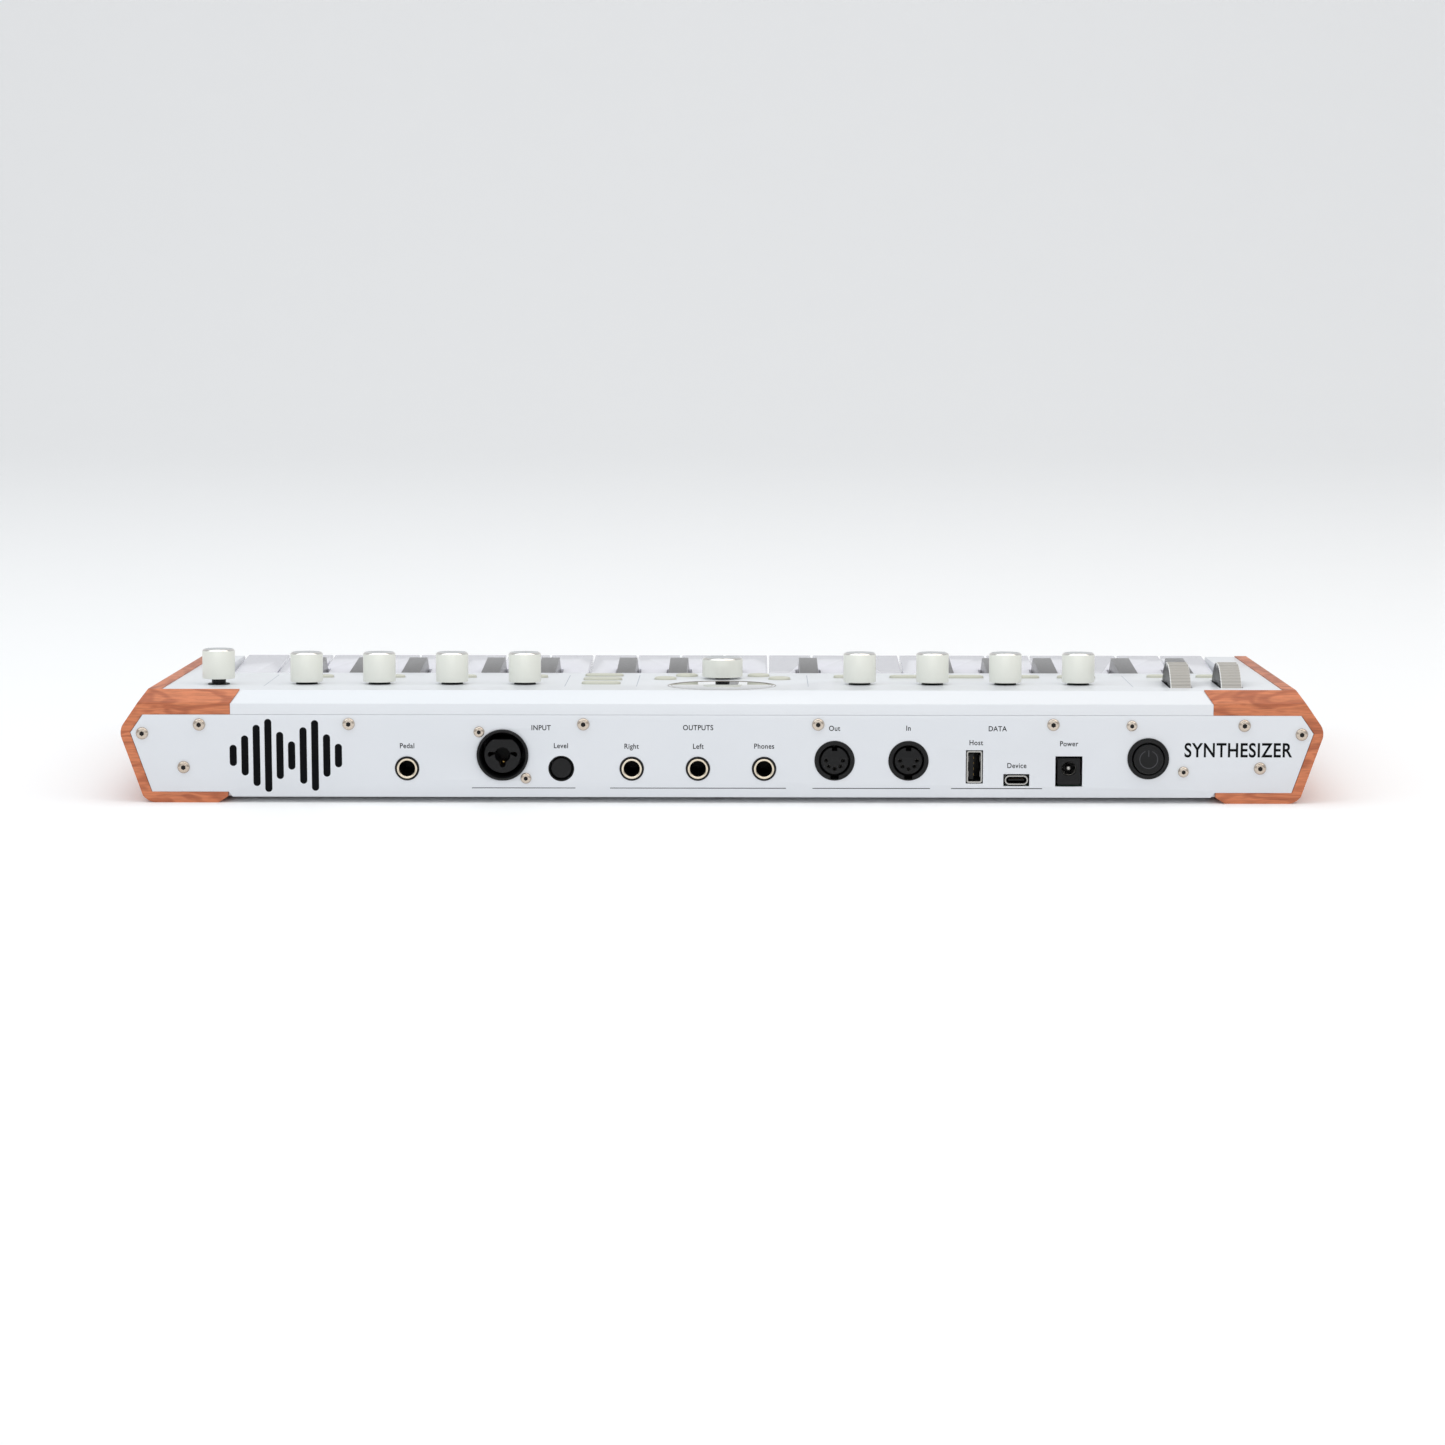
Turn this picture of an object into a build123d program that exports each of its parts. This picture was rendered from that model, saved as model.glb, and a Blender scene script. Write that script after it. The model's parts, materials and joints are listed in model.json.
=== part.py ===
from build123d import *
import math
import os

# A compact stage synthesizer with 37 slim keys. Millimetres, +Z up.
# The player sits on the -Y side, +X is the player's right, and the sockets face +Y.
# "Depth" is the distance from the rear plate's outer face towards the player.

CUT = 1.0  # how far a cutting shape runs past the face it cuts

# ---------------------------------------------------------------- keyboard
WHITE_PITCH = 20.09
WHITE_COUNT = 22
WHITE_GAP = 0.9
KEY_TOP_Z = 35.0
KEY_WALL = 1.6
KEY_ROOF = 2.0
KEY_HEIGHT = 11.0
SKIRT_DROP = 2.0
TAIL_START = 70.0
PANEL_FRONT = 92.0
BLACK_SLOT_LENGTH = 55.5
WHITE_HEAD_LENGTH = 42.5
BLACK_WIDTH = 9.0
BLACK_TOP_WIDTH = 8.0
BLACK_SIDE_GAP = 1.05
BLACK_FRONT_GAP = 1.5
BLACK_RISE = 5.8
BLACK_DEPTH = 12.5
BLACK_NOSE = 3.5
BLACK_OFFSETS = {1: -2.2, 2: 2.2, 4: -2.8, 5: 0.0, 6: 2.8}
OCTAVE_WHITES = 7
OCTAVES = 3
PIVOT_RADIUS = 1.5
PIVOT_CLEARANCE = 0.05
PIVOT_INSET = 8.0
PIVOT_BELOW_TOP = 5.0
FIN = 2.0
FIN_GAP = 0.6
FIN_RISE = 3.5
FIN_HALF_FOOT = 9.0
FIN_HALF_HEAD = 4.0
FRAME_BASE = 2.5
FRAME_FRONT_GAP = 10.0
FRAME_BACK_EDGE = 2.0
KEY_ANGLE = 4.0
STOP_FROM_FRONT = 25.0
STOP_GAP = 0.4
STOP_HALF = 2.0

# -------------------------------------------------------------------- case
CHEEK_GAP = 0.6
ARM_WIDTH = 13.6
CAP_TOP_WIDTH = 5.2
CAP_TOP_PROUD = 0.4
CAP_GAP = 0.1
CAP_FOOT = (2.2, 2.8)
SHELL = 2.5
FLOOR = 2.0
FLOOR_STEP = 3.0
REAR_HEIGHT = 37.3
BAND_HEIGHT = 4.7
CHAMFER_DEPTH = 6.0
CHAMFER_RISE = 4.9
FLOOR_Z = 2.5
RUNNER_HEIGHT = 4.5
RUNNER_WIDTH = 33.5
RUNNER_BEVEL = 4.0
PANEL_SLOPE = 3.7
LOWER_LEAN = 0.3456
UPPER_LEAN = 0.69
FRONT_CHAMFER = 6.0
SEAM = 0.1
LIP_DROP = 5.0
LIP = 2.0
ARM_LAP = 3.0
ARM_WALL = 2.0
BAND_LAP = 3.0
BAND_WALL = 1.5
CORNER_BLOCK_LENGTH = 29.7
CORNER_BLOCK_SLANT = 3.5
CORNER_POST_WIDTH = 24.0
FRONT_WALL_TOP = 13.0
FRONT_WALL_SETBACK = 7.0
SIDE_WALL_TOP = 26.0
RAIL_LOW = 31.0

# -------------------------------------------------------------- rear plate
PLATE = 2.0
PLATE_RIM = 4.3
PLATE_GAP = 0.25
PLATE_STEP = (2.0, 0.3)
SCREW_HEAD = 2.6
SCREW_HEAD_PROUD = 1.2
SCREW_SHANK = 1.3
SCREW_LENGTH = 7.0
SCREW_DOME = 0.6
SCREW_HEX_SHARE = 0.42
SCREW_HEX_DEPTH = 0.84
CAP_SCREW_INSET = (4.9, 0.3)
CORNER_SCREWS = ((16.7, 33.1), (9.9, 15.0))
SMALL_HEAD = 2.3
PLATE_SCREW_Z = 33.4
PLATE_SCREW_PITCH = 98.2
PLATE_SCREW_FIRST = -138.7
JACK_Z = 14.6
JACKS = {"sustain": 131.6, "right": 37.5, "left": 9.8, "headphones": -17.9}
JACK_BORE = 3.2
JACK_NOSE = 5.15
JACK_BODY = 12.6
JACK_DEPTH = 20.0
JACK_WALL = 2.0
FERRULE = 4.3
FERRULE_PROUD = 0.6
FERRULE_DEPTH = 1.2
COMBO_X = 91.6
COMBO_Z = 20.3
COMBO_RADIUS = 10.85
COMBO_ISLAND = 7.65
COMBO_SHELL_GAP = 1.5
COMBO_DEPTH = 26.0
COMBO_WALL = 2.0
COMBO_RING_END = 20.0
COMBO_PIN_END = 18.0
COMBO_PIN_CIRCLE = 5.3
COMBO_PIN_HOLE = 1.3
FLANGE = 2.0
COMBO_SCREW_INSET = (1.1, 1.05)
COMBO_FLANGE_EDGE = 1.85
FLANGE_EDGE = 3.5
POWER_TAB = 2.8
GAIN_X = 67.0
GAIN_RADIUS = 4.35
GAIN_HOLE = 5.45
GAIN_RECESS = 0.8
GAIN_LENGTH = 9.0
GAIN_SHAFT_IN_POT = 5.0
GAIN_POT = 8.0
DIN_X = (-47.4, -78.3)
DIN_Z = 18.1
DIN_RADIUS = 8.45
DIN_ISLAND = 5.75
DIN_GROOVE = 0.8
DIN_DEPTH = 14.0
DIN_HOLE_END = 10.0
DIN_PINS = 5
DIN_PIN_STEP = 45.0
DIN_PIN_CIRCLE = 3.5
DIN_PIN_HOLE = 0.85
USB_A = (-105.9, 15.5, 5.3, 12.3)
USB_A_DEPTH = 16.0
USB_A_TONGUE = (2.0, 10.5)
USB_C = (-123.5, 9.9, 9.0, 3.3)
USB_C_DEPTH = 9.0
USB_C_TONGUE = (6.8, 0.8)
USB_TONGUE_START = 1.5
USB_FACE = 0.2
USB_FOOT = 3.0
METAL_SHELL = 0.35
INLET = (-145.4, 13.6, 9.4, 11.0)
INLET_BORE = 3.0
INLET_RISE = 1.1
INLET_PIN = 1.0
INLET_DEPTH = 14.0
INLET_BORE_END = 11.0
INLET_PIN_START = 1.5
INLET_FOOT = 6.0
POWER_X = -178.5
POWER_Z = 19.1
POWER_CAP = 6.3
POWER_BEZEL = 8.75
POWER_BODY = 7.5
POWER_PROUD = 2.6
POWER_BEZEL_PROUD = 1.2
POWER_TRAVEL = 2.0
POWER_DEPTH = 20.0
POWER_WELL = 14.0
POWER_SCREW_LOW = (-14.8, -5.6)
POWER_SCREW_HIGH = (7.0, 13.9)
SLIP = 0.3
SOCKET_RIM = 0.95
GAIN_POT_DEPTH = 11.0
IO_BOARD_RISE = 1.1
IO_BOARD_EDGE = 12.0
IO_BOARD_LENGTH = 30.0
IO_BOARD_BACK = 0.2
IO_POST_XS = (-150.0, -60.0, 50.0, 115.0)
IO_POST_DEPTH = 24.0
IO_POST_RADIUS = 3.0

# --------------------------------------------------------------- top panel
KNOB_RADIUS = 6.9
KNOB_HEIGHT = 12.6
KNOB_GAP = 1.0
KNOB_PITCH = 31.0
KNOB_DEPTH = 36.0
KNOB_CHAMFER = 0.5
KNOB_DISH_RIM = 1.8
KNOB_DISH = 0.4
SHAFT_RADIUS = 3.0
SHAFT_HOLE = 3.6
VOLUME_INSET = 7.4
VOLUME_DEPTH = 33.6
VOLUME_GAP = 2.5
FIRST_KNOB_FROM_VOLUME = 37.2
RIGHT_KNOB_FROM_CENTRE = -58.6
ENCODER_DEPTH = 64.5
ENCODER_RADIUS = 8.7
ENCODER_HEIGHT = 8.4
ENCODER_GAP = 0.8
ENCODER_SHAFT = 3.1
ENCODER_SLIP = 0.5
ENCODER_SHAFT_LOW = 4.8
ENCODER_SHAFT_CORE = 2.0
ENCODER_ROOF = 2.0
DISPLAY_DEPTH = 30.0
DISPLAY_RADIUS = 23.0
DISPLAY_THICKNESS = 1.5
DISPLAY_LEDGE = 2.5
DISPLAY_SCREEN = 16.0
POT_SIZE = 11.0
POT_HEIGHT = 7.0
SHAFT_IN_POT = 5.0
BOARD = 1.6
BUTTON_PROUD = 1.2
BUTTON_TRAVEL = 1.0
BUTTON_FLANGE = 1.0
BUTTON_EDGE = 0.8
BUTTON_POST_XS = (-92.9, -44.5, 38.0, 99.0, 161.0)
BUTTON_POST_DEPTH = 66.0
BUTTON_POST_RADIUS = 1.6
BUTTON_ROOM = 0.2
BUTTON_BOARD = 1.0
BUTTON_BOARD_DEPTHS = (56.0, 81.0)
BUTTON_BOARD_EDGES = (14.0, 66.0)
KNOB_BOARD_DEPTHS = (13.0, 49.0)
KNOB_BOARD_EDGES = (6.5, 12.0)
BUTTON_BOARD_DROP = 5.4
PILL_LENGTH = 16.6
PILL_WIDTH = 5.0
PILL_DEPTH = 69.0
RIGHT_PILL_FIRST = -56.4
RIGHT_PILL_PITCH = 24.2
RIGHT_PILL_COUNT = 5
COLUMN_X = 51.5
COLUMN_DEPTHS = (36.8, 56.7, 76.0)
OCTAVE_BUTTON_DEPTH = 72.7
OCTAVE_BUTTON_SHIFT = 1.4
ROUND_RADIUS = 4.75
ROUND_BUTTONS = ((24.6, 60.7), (15.6, 76.2), (-15.6, 76.2), (-24.6, 60.7))
WHEEL_RADIUS = 23.0
WHEEL_RISE = 9.3
WHEEL_WIDTH = 8.7
WHEEL_DEPTH = 38.0
WHEEL_AXLE = 2.0
WHEEL_NOTCH = 2.2
WHEEL_FROM_CHEEK = (27.8, 6.5)
WHEEL_SLOT_SIDE = 0.6
WHEEL_SLOT_END = 0.6
WHEEL_BOARD_GAP = 1.2
EAR = 2.2
EAR_SLIP = 0.1
EAR_DROP = 4.0
EAR_HALF_DEPTH = 4.5

# -------------------------------------------------------- feet and screws
FOOT_RADIUS = 10.0
FOOT_DEPTHS = (22.0, 165.0)
FLOOR_SCREW_XS = (-180.0, 0.0, 180.0)
FLOOR_SCREW_DEPTHS = (100.0, 150.0)
FLOOR_SCREW_HEAD = 2.8
FLOOR_SCREW_HEAD_HEIGHT = 1.2
FLOOR_SCREW_SHANK = 1.5
FLOOR_BOSS = 4.0

# ------------------------------------------------------------ worked out
SLOPE = math.radians(PANEL_SLOPE)
KEY_HALF = WHITE_PITCH * WHITE_COUNT / 2
CHEEK_X = KEY_HALF + CHEEK_GAP
CAP_INNER = CHEEK_X + ARM_WIDTH
CAP_TOP_X = CAP_INNER + CAP_TOP_WIDTH
NECK_END = PANEL_FRONT + BLACK_SLOT_LENGTH
DEPTH = NECK_END + WHITE_HEAD_LENGTH
REAR_Y = (DEPTH - POWER_PROUD) / 2
SEAM_Z = REAR_HEIGHT + SEAM
BAND_TOP = REAR_HEIGHT + BAND_HEIGHT
PANEL_BACK_Z = BAND_TOP + CHAMFER_RISE
KEY_BOTTOM_Z = KEY_TOP_Z - KEY_HEIGHT
PIVOT_DEPTH = TAIL_START + PIVOT_INSET
PIVOT_Z = KEY_TOP_Z - PIVOT_BELOW_TOP
PIVOT_BORE = PIVOT_RADIUS + PIVOT_CLEARANCE
FLOOR_TOP = FLOOR_Z + FLOOR
COMBO_SCREW = [COMBO_RADIUS - inset for inset in COMBO_SCREW_INSET]
COMBO_FLANGE = COMBO_RADIUS + COMBO_FLANGE_EDGE
SIDE_FLOOR_Z = RUNNER_HEIGHT + SEAM
SIDE_FLOOR_TOP = SIDE_FLOOR_Z + FLOOR
FRAME_TOP = SIDE_FLOOR_TOP + FRAME_BASE
STOP_DEPTH = DEPTH - STOP_FROM_FRONT
RUNNER_X = CAP_TOP_X - RUNNER_WIDTH
BLOCK_X = CAP_INNER - CORNER_BLOCK_LENGTH
IO_BOARD_Z = FLOOR_TOP + IO_BOARD_RISE
IO_BOARD_TOP = IO_BOARD_Z + BOARD
VOLUME_X = CHEEK_X - VOLUME_INSET
LEFT_KNOBS = [VOLUME_X - FIRST_KNOB_FROM_VOLUME - KNOB_PITCH * i for i in range(4)]
RIGHT_KNOBS = [RIGHT_KNOB_FROM_CENTRE - KNOB_PITCH * i for i in range(4)]
KNOB_XS = LEFT_KNOBS + RIGHT_KNOBS
WHEEL_XS = [-(CHEEK_X - inset) for inset in WHEEL_FROM_CHEEK]


# ------------------------------------------------------------- geometry
def y_at(depth):
    """Y of a point at this depth in front of the rear plate."""
    return REAR_Y - depth


def panel_z(depth):
    """Height of the sloping panel surface at this depth."""
    return PANEL_BACK_Z - (depth - CHAMFER_DEPTH) * math.tan(SLOPE)


def prism_x(points, x_low, x_high):
    """Solid with a side outline of (depth, z) points, from x_low to x_high."""
    outline = Polygon(*[(y_at(depth), z) for depth, z in points], align=None)
    face = Plane.YZ.offset(x_low) * outline
    return extrude(face, amount=x_high - x_low, dir=(1, 0, 0))


def prism_y(points, depth_low, depth_high):
    """Solid with a rear outline of (x, z) points, between two depths."""
    face = Plane.XZ.offset(-y_at(depth_low)) * Polygon(*points, align=None)
    return extrude(face, amount=depth_high - depth_low, dir=(0, -1, 0))


def block(x_low, x_high, depth_low, depth_high, z_low, z_high):
    """Rectangular block given by its limits."""
    middle = Pos(
        (x_low + x_high) / 2, y_at((depth_low + depth_high) / 2), (z_low + z_high) / 2
    )
    return middle * Box(x_high - x_low, depth_high - depth_low, z_high - z_low)


def rod_x(depth, z, radius, x_low, x_high):
    """Round rod along X."""
    middle = Pos((x_low + x_high) / 2, y_at(depth), z)
    return middle * Rot(0, 90, 0) * Cylinder(radius, x_high - x_low)


def rod_y(x, z, radius, depth_low, depth_high):
    """Round rod along Y."""
    middle = Pos(x, y_at((depth_low + depth_high) / 2), z)
    return middle * Rot(90, 0, 0) * Cylinder(radius, depth_high - depth_low)


def rod_z(x, depth, radius, z_low, z_high):
    """Round rod along Z."""
    return Pos(x, y_at(depth), (z_low + z_high) / 2) * Cylinder(radius, z_high - z_low)


def on_panel(x, depth, rise=0.0):
    """Place on the panel surface, with its own z along the panel's normal."""
    normal = (0, -math.sin(SLOPE), math.cos(SLOPE))
    origin = (x, y_at(depth), panel_z(depth))
    return Plane(origin=origin, x_dir=(1, 0, 0), z_dir=normal).location * Pos(0, 0, rise)


def panel_rod(x, depth, radius, low, high):
    """Round rod along the panel's normal, between two heights over the panel."""
    return on_panel(x, depth, (low + high) / 2) * Cylinder(radius, high - low)


def panel_box(x, depth, width, length, low, high):
    """Box square to the panel, between two heights over the panel."""
    return on_panel(x, depth, (low + high) / 2) * Box(width, length, high - low)


def panel_pill(x, depth, length, width, low, high):
    """Stadium-shaped bar along X on the panel, between two heights over it."""
    face = on_panel(x, depth, low) * SlotOverall(length, width)
    return extrude(face, amount=high - low)


def save(name, *shapes):
    """Write one node, as its separate solids."""
    solids = [solid for shape in shapes for solid in shape.solids()]
    export_step(Compound(children=solids), f"parts/{name}.step")


# ----------------------------------------------------------------- keys
def white_edge(index):
    """X of the line between white key index - 1 and white key index."""
    return -KEY_HALF + index * WHITE_PITCH


def has_black(index):
    """Whether a black key stands on this line between two white keys."""
    return 0 < index < WHITE_COUNT and index % OCTAVE_WHITES in BLACK_OFFSETS


def black_x(index):
    """Centre of the black key on this line."""
    return white_edge(index) + BLACK_OFFSETS[index % OCTAVE_WHITES]


def neck_edge(index, side):
    """Side of a white key's neck at this line: side is +1 when the key lies to +X."""
    if has_black(index):
        return black_x(index) + side * (BLACK_WIDTH / 2 + BLACK_SIDE_GAP)
    return white_edge(index) + side * WHITE_GAP / 2


def tail_edge(index, side):
    """Side of a white key's tail, which leaves room for the pivot rod's fins."""
    if has_black(index):
        return neck_edge(index, side)
    return white_edge(index) + side * (FIN / 2 + FIN_GAP + fin_shift(index) * side)


def fin_shift(index):
    """The two end fins stand fully inside the row of keys."""
    if index == 0:
        return FIN / 2
    if index == WHITE_COUNT:
        return -FIN / 2
    return 0.0


def pivot_hole(radius=PIVOT_BORE):
    """The rod's hole through everything on the pivot line."""
    return rod_x(PIVOT_DEPTH, PIVOT_Z, radius, -CHEEK_X, CHEEK_X)


def white_key(index):
    """One white key: a shell with a solid pivot block at its tail."""
    left = white_edge(index) + WHITE_GAP / 2
    right = white_edge(index + 1) - WHITE_GAP / 2
    neck_left = neck_edge(index, 1)
    neck_right = neck_edge(index + 1, -1)
    tail_left = tail_edge(index, 1)
    tail_right = tail_edge(index + 1, -1)
    tail_end = PANEL_FRONT - SHELL
    outline = [
        (tail_left, TAIL_START),
        (tail_right, TAIL_START),
        (tail_right, tail_end),
        (neck_right, tail_end),
        (neck_right, NECK_END),
        (right, NECK_END),
        (right, DEPTH),
        (left, DEPTH),
        (left, NECK_END),
        (neck_left, NECK_END),
        (neck_left, tail_end),
        (tail_left, tail_end),
    ]
    plan = Polygon(*[(x, y_at(depth)) for x, depth in drop_repeats(outline)], align=None)
    body = extrude(Pos(0, 0, KEY_BOTTOM_Z) * plan, amount=KEY_HEIGHT, dir=(0, 0, 1))
    skirt_low = KEY_BOTTOM_Z - SKIRT_DROP
    body += block(left, right, DEPTH - KEY_WALL, DEPTH, skirt_low, KEY_TOP_Z)
    roof = KEY_TOP_Z - KEY_ROOF
    head_start = NECK_END + KEY_WALL
    head_end = DEPTH - KEY_WALL
    head = (left + KEY_WALL, right - KEY_WALL, head_start, head_end, 0, roof)
    neck = (neck_left + KEY_WALL, neck_right - KEY_WALL, tail_end + KEY_WALL, head_start, 0, roof)
    return body - block(*head) - block(*neck) - pivot_hole()


def drop_repeats(points):
    """The outline without points that fall on the one before."""
    kept = [points[-1]]
    for point in points:
        if math.dist(point, kept[-1]) > 1e-6:
            kept.append(point)
    return kept[1:] if math.dist(kept[0], kept[-1]) < 1e-6 else kept


def black_key(index):
    """One black key: a tapered bar with a sloped nose, and a tail on the pivot rod."""
    x = black_x(index)
    top = KEY_TOP_Z + BLACK_RISE
    low = top - BLACK_DEPTH
    start = PANEL_FRONT + 2 * SLIP
    end = NECK_END - BLACK_FRONT_GAP
    section = [
        (x - BLACK_WIDTH / 2, low),
        (x + BLACK_WIDTH / 2, low),
        (x + BLACK_WIDTH / 2, KEY_TOP_Z),
        (x + BLACK_TOP_WIDTH / 2, top),
        (x - BLACK_TOP_WIDTH / 2, top),
        (x - BLACK_WIDTH / 2, KEY_TOP_Z),
    ]
    bar = prism_y(section, start, end)
    nose = [(end, KEY_TOP_Z), (end - BLACK_NOSE, top), (end - BLACK_NOSE, top + 1), (end + 1, top + 1)]
    bar -= prism_x(nose, x - BLACK_WIDTH, x + BLACK_WIDTH)
    tail_half = BLACK_WIDTH / 2
    tail = block(x - tail_half, x + tail_half, TAIL_START, start + BLACK_NOSE, KEY_BOTTOM_Z, KEY_TOP_Z - 1)
    return bar + tail - pivot_hole()


def fin_lines():
    """Lines between white keys that carry a fin: those with no black key."""
    return [index for index in range(WHITE_COUNT + 1) if not has_black(index)]


def key_frame():
    """Base plate with the fins that hold the pivot rod, and the keys' stop rail."""
    half = KEY_HALF
    back = TAIL_START - FRAME_BACK_EDGE
    frame = block(-half, half, back, DEPTH - FRAME_FRONT_GAP, SIDE_FLOOR_TOP, FRAME_TOP)
    travel = (STOP_DEPTH - PIVOT_DEPTH) * math.sin(math.radians(KEY_ANGLE))
    rail_top = KEY_BOTTOM_Z - travel - STOP_GAP
    frame += block(-half, half, STOP_DEPTH - STOP_HALF, STOP_DEPTH + STOP_HALF, FRAME_TOP, rail_top)
    for index in fin_lines():
        x = white_edge(index) + fin_shift(index)
        fin = [
            (PIVOT_DEPTH - FIN_HALF_FOOT, FRAME_TOP),
            (PIVOT_DEPTH - FIN_HALF_HEAD, PIVOT_Z + FIN_RISE),
            (PIVOT_DEPTH + FIN_HALF_HEAD, PIVOT_Z + FIN_RISE),
            (PIVOT_DEPTH + FIN_HALF_FOOT, FRAME_TOP),
        ]
        frame += prism_x(fin, x - FIN / 2, x + FIN / 2)
    for x in FLOOR_SCREW_XS:
        for depth in FLOOR_SCREW_DEPTHS:
            frame -= rod_z(x, depth, FLOOR_SCREW_SHANK, FLOOR_Z, FRAME_TOP + CUT)
    return frame - pivot_hole(PIVOT_RADIUS)


# ------------------------------------------------------------- end caps
def cap_profile():
    """Side outline of an end cap, a little proud of the sloping panel."""
    rise = CAP_TOP_PROUD
    front = DEPTH - FRONT_CHAMFER
    return [
        (0, 0),
        (0, BAND_TOP + rise),
        (CHAMFER_DEPTH, PANEL_BACK_Z + rise),
        (front, panel_z(front) + rise),
        (DEPTH, panel_z(front) + rise - FRONT_CHAMFER),
        (DEPTH, 0),
    ]


def cap_outer_edge():
    """Rear outline of the cap's outer side, on +X: foot, ridge and top."""
    foot_x = CAP_TOP_X + CAP_FOOT[0]
    foot_z = CAP_FOOT[1]
    top_z = PANEL_BACK_Z + CAP_TOP_PROUD
    reach = CAP_TOP_X + UPPER_LEAN * top_z - foot_x + LOWER_LEAN * foot_z
    ridge_z = reach / (LOWER_LEAN + UPPER_LEAN)
    ridge_x = foot_x + LOWER_LEAN * (ridge_z - foot_z)
    return (foot_x, foot_z), (ridge_x, ridge_z), (CAP_TOP_X, top_z)


def plate_outline():
    """Half of the rear plate's outline on +X, from the bottom middle to the top middle."""
    foot, ridge, top = cap_outer_edge()
    lean = math.hypot(1, LOWER_LEAN)
    edge_low_x = foot[0] + LOWER_LEAN * (RUNNER_HEIGHT - foot[1]) - PLATE_RIM * lean
    rim_top = math.hypot(1, UPPER_LEAN)
    edge_top_x = CAP_TOP_X + UPPER_LEAN * (top[1] - REAR_HEIGHT) - PLATE_RIM * rim_top
    upper = edge_top_x + UPPER_LEAN * REAR_HEIGHT
    lower = edge_low_x - LOWER_LEAN * RUNNER_HEIGHT
    corner_z = (upper - lower) / (LOWER_LEAN + UPPER_LEAN)
    corner_x = lower + LOWER_LEAN * corner_z
    return [
        (RUNNER_X - PLATE_STEP[0], FLOOR_Z),
        (RUNNER_X - PLATE_STEP[1], RUNNER_HEIGHT + SEAM),
        (edge_low_x, RUNNER_HEIGHT + SEAM),
        (corner_x, corner_z),
        (edge_top_x, REAR_HEIGHT),
    ]


def end_cap():
    """Right-hand wooden end cap: cheek, bottom runner and rear corner block."""
    foot, ridge, top = cap_outer_edge()
    reach = 12 * CUT
    far = ridge[0] + reach
    cheek = prism_x(cap_profile(), CAP_INNER, ridge[0] + CUT)
    below = [foot, (far, foot[1] + (far - foot[0]) / LOWER_LEAN), (far, -CUT), (foot[0] - foot[1] - CUT, -CUT)]
    cheek -= prism_y(below, -CUT, DEPTH + CUT)
    above = [
        (top[0] - UPPER_LEAN * reach, top[1] + reach),
        (far, top[1] - (far - top[0]) / UPPER_LEAN),
        (far, top[1] + reach),
    ]
    slope_run = (0, -math.cos(SLOPE), -math.sin(SLOPE))
    rise = (reach + CHAMFER_DEPTH) * math.tan(SLOPE)
    outline = Polygon(*[(x, z + rise) for x, z in above], align=None)
    start = Plane.XZ.offset(-y_at(-reach)) * outline
    cheek -= extrude(start, amount=DEPTH + 3 * reach, dir=slope_run)
    runner = [
        (RUNNER_X + RUNNER_BEVEL, 0),
        (CAP_INNER + CUT, 0),
        (CAP_INNER + CUT, RUNNER_HEIGHT),
        (RUNNER_X, RUNNER_HEIGHT),
        (RUNNER_X, FLOOR_Z + SEAM),
    ]
    cheek += prism_y(runner, 0, DEPTH)
    corner = [
        (0, SEAM_Z),
        (0, BAND_TOP + CAP_TOP_PROUD),
        (CHAMFER_DEPTH, PANEL_BACK_Z + CAP_TOP_PROUD),
        (CHAMFER_DEPTH, SEAM_Z),
    ]
    corner_solid = prism_x(corner, BLOCK_X - CORNER_BLOCK_SLANT, CAP_INNER + CUT)
    slant = [
        (BLOCK_X - 2 * CORNER_BLOCK_SLANT, SEAM_Z - CUT),
        (BLOCK_X, SEAM_Z - CUT),
        (BLOCK_X, BAND_TOP),
        (BLOCK_X - CORNER_BLOCK_SLANT, PANEL_BACK_Z),
        (BLOCK_X - CORNER_BLOCK_SLANT, PANEL_BACK_Z + CUT),
        (BLOCK_X - 2 * CORNER_BLOCK_SLANT, PANEL_BACK_Z + CUT),
    ]
    cheek += corner_solid - prism_y(slant, -CUT, CHAMFER_DEPTH + CUT)
    outline = plate_outline()
    rebate = [(0, FLOOR_Z)] + [(x + PLATE_GAP, z) for x, z in outline] + [(0, REAR_HEIGHT)]
    cheek -= prism_y(rebate, -CUT, PLATE)
    for x, z in cap_screws():
        cheek -= rod_y(x, z, SCREW_SHANK, 0, SCREW_LENGTH)
    return cheek


def cap_screws():
    """The plate screw that goes into the wood, on +X."""
    corner = plate_outline()[3]
    return [(corner[0] - CAP_SCREW_INSET[0], corner[1] - CAP_SCREW_INSET[1])]


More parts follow.
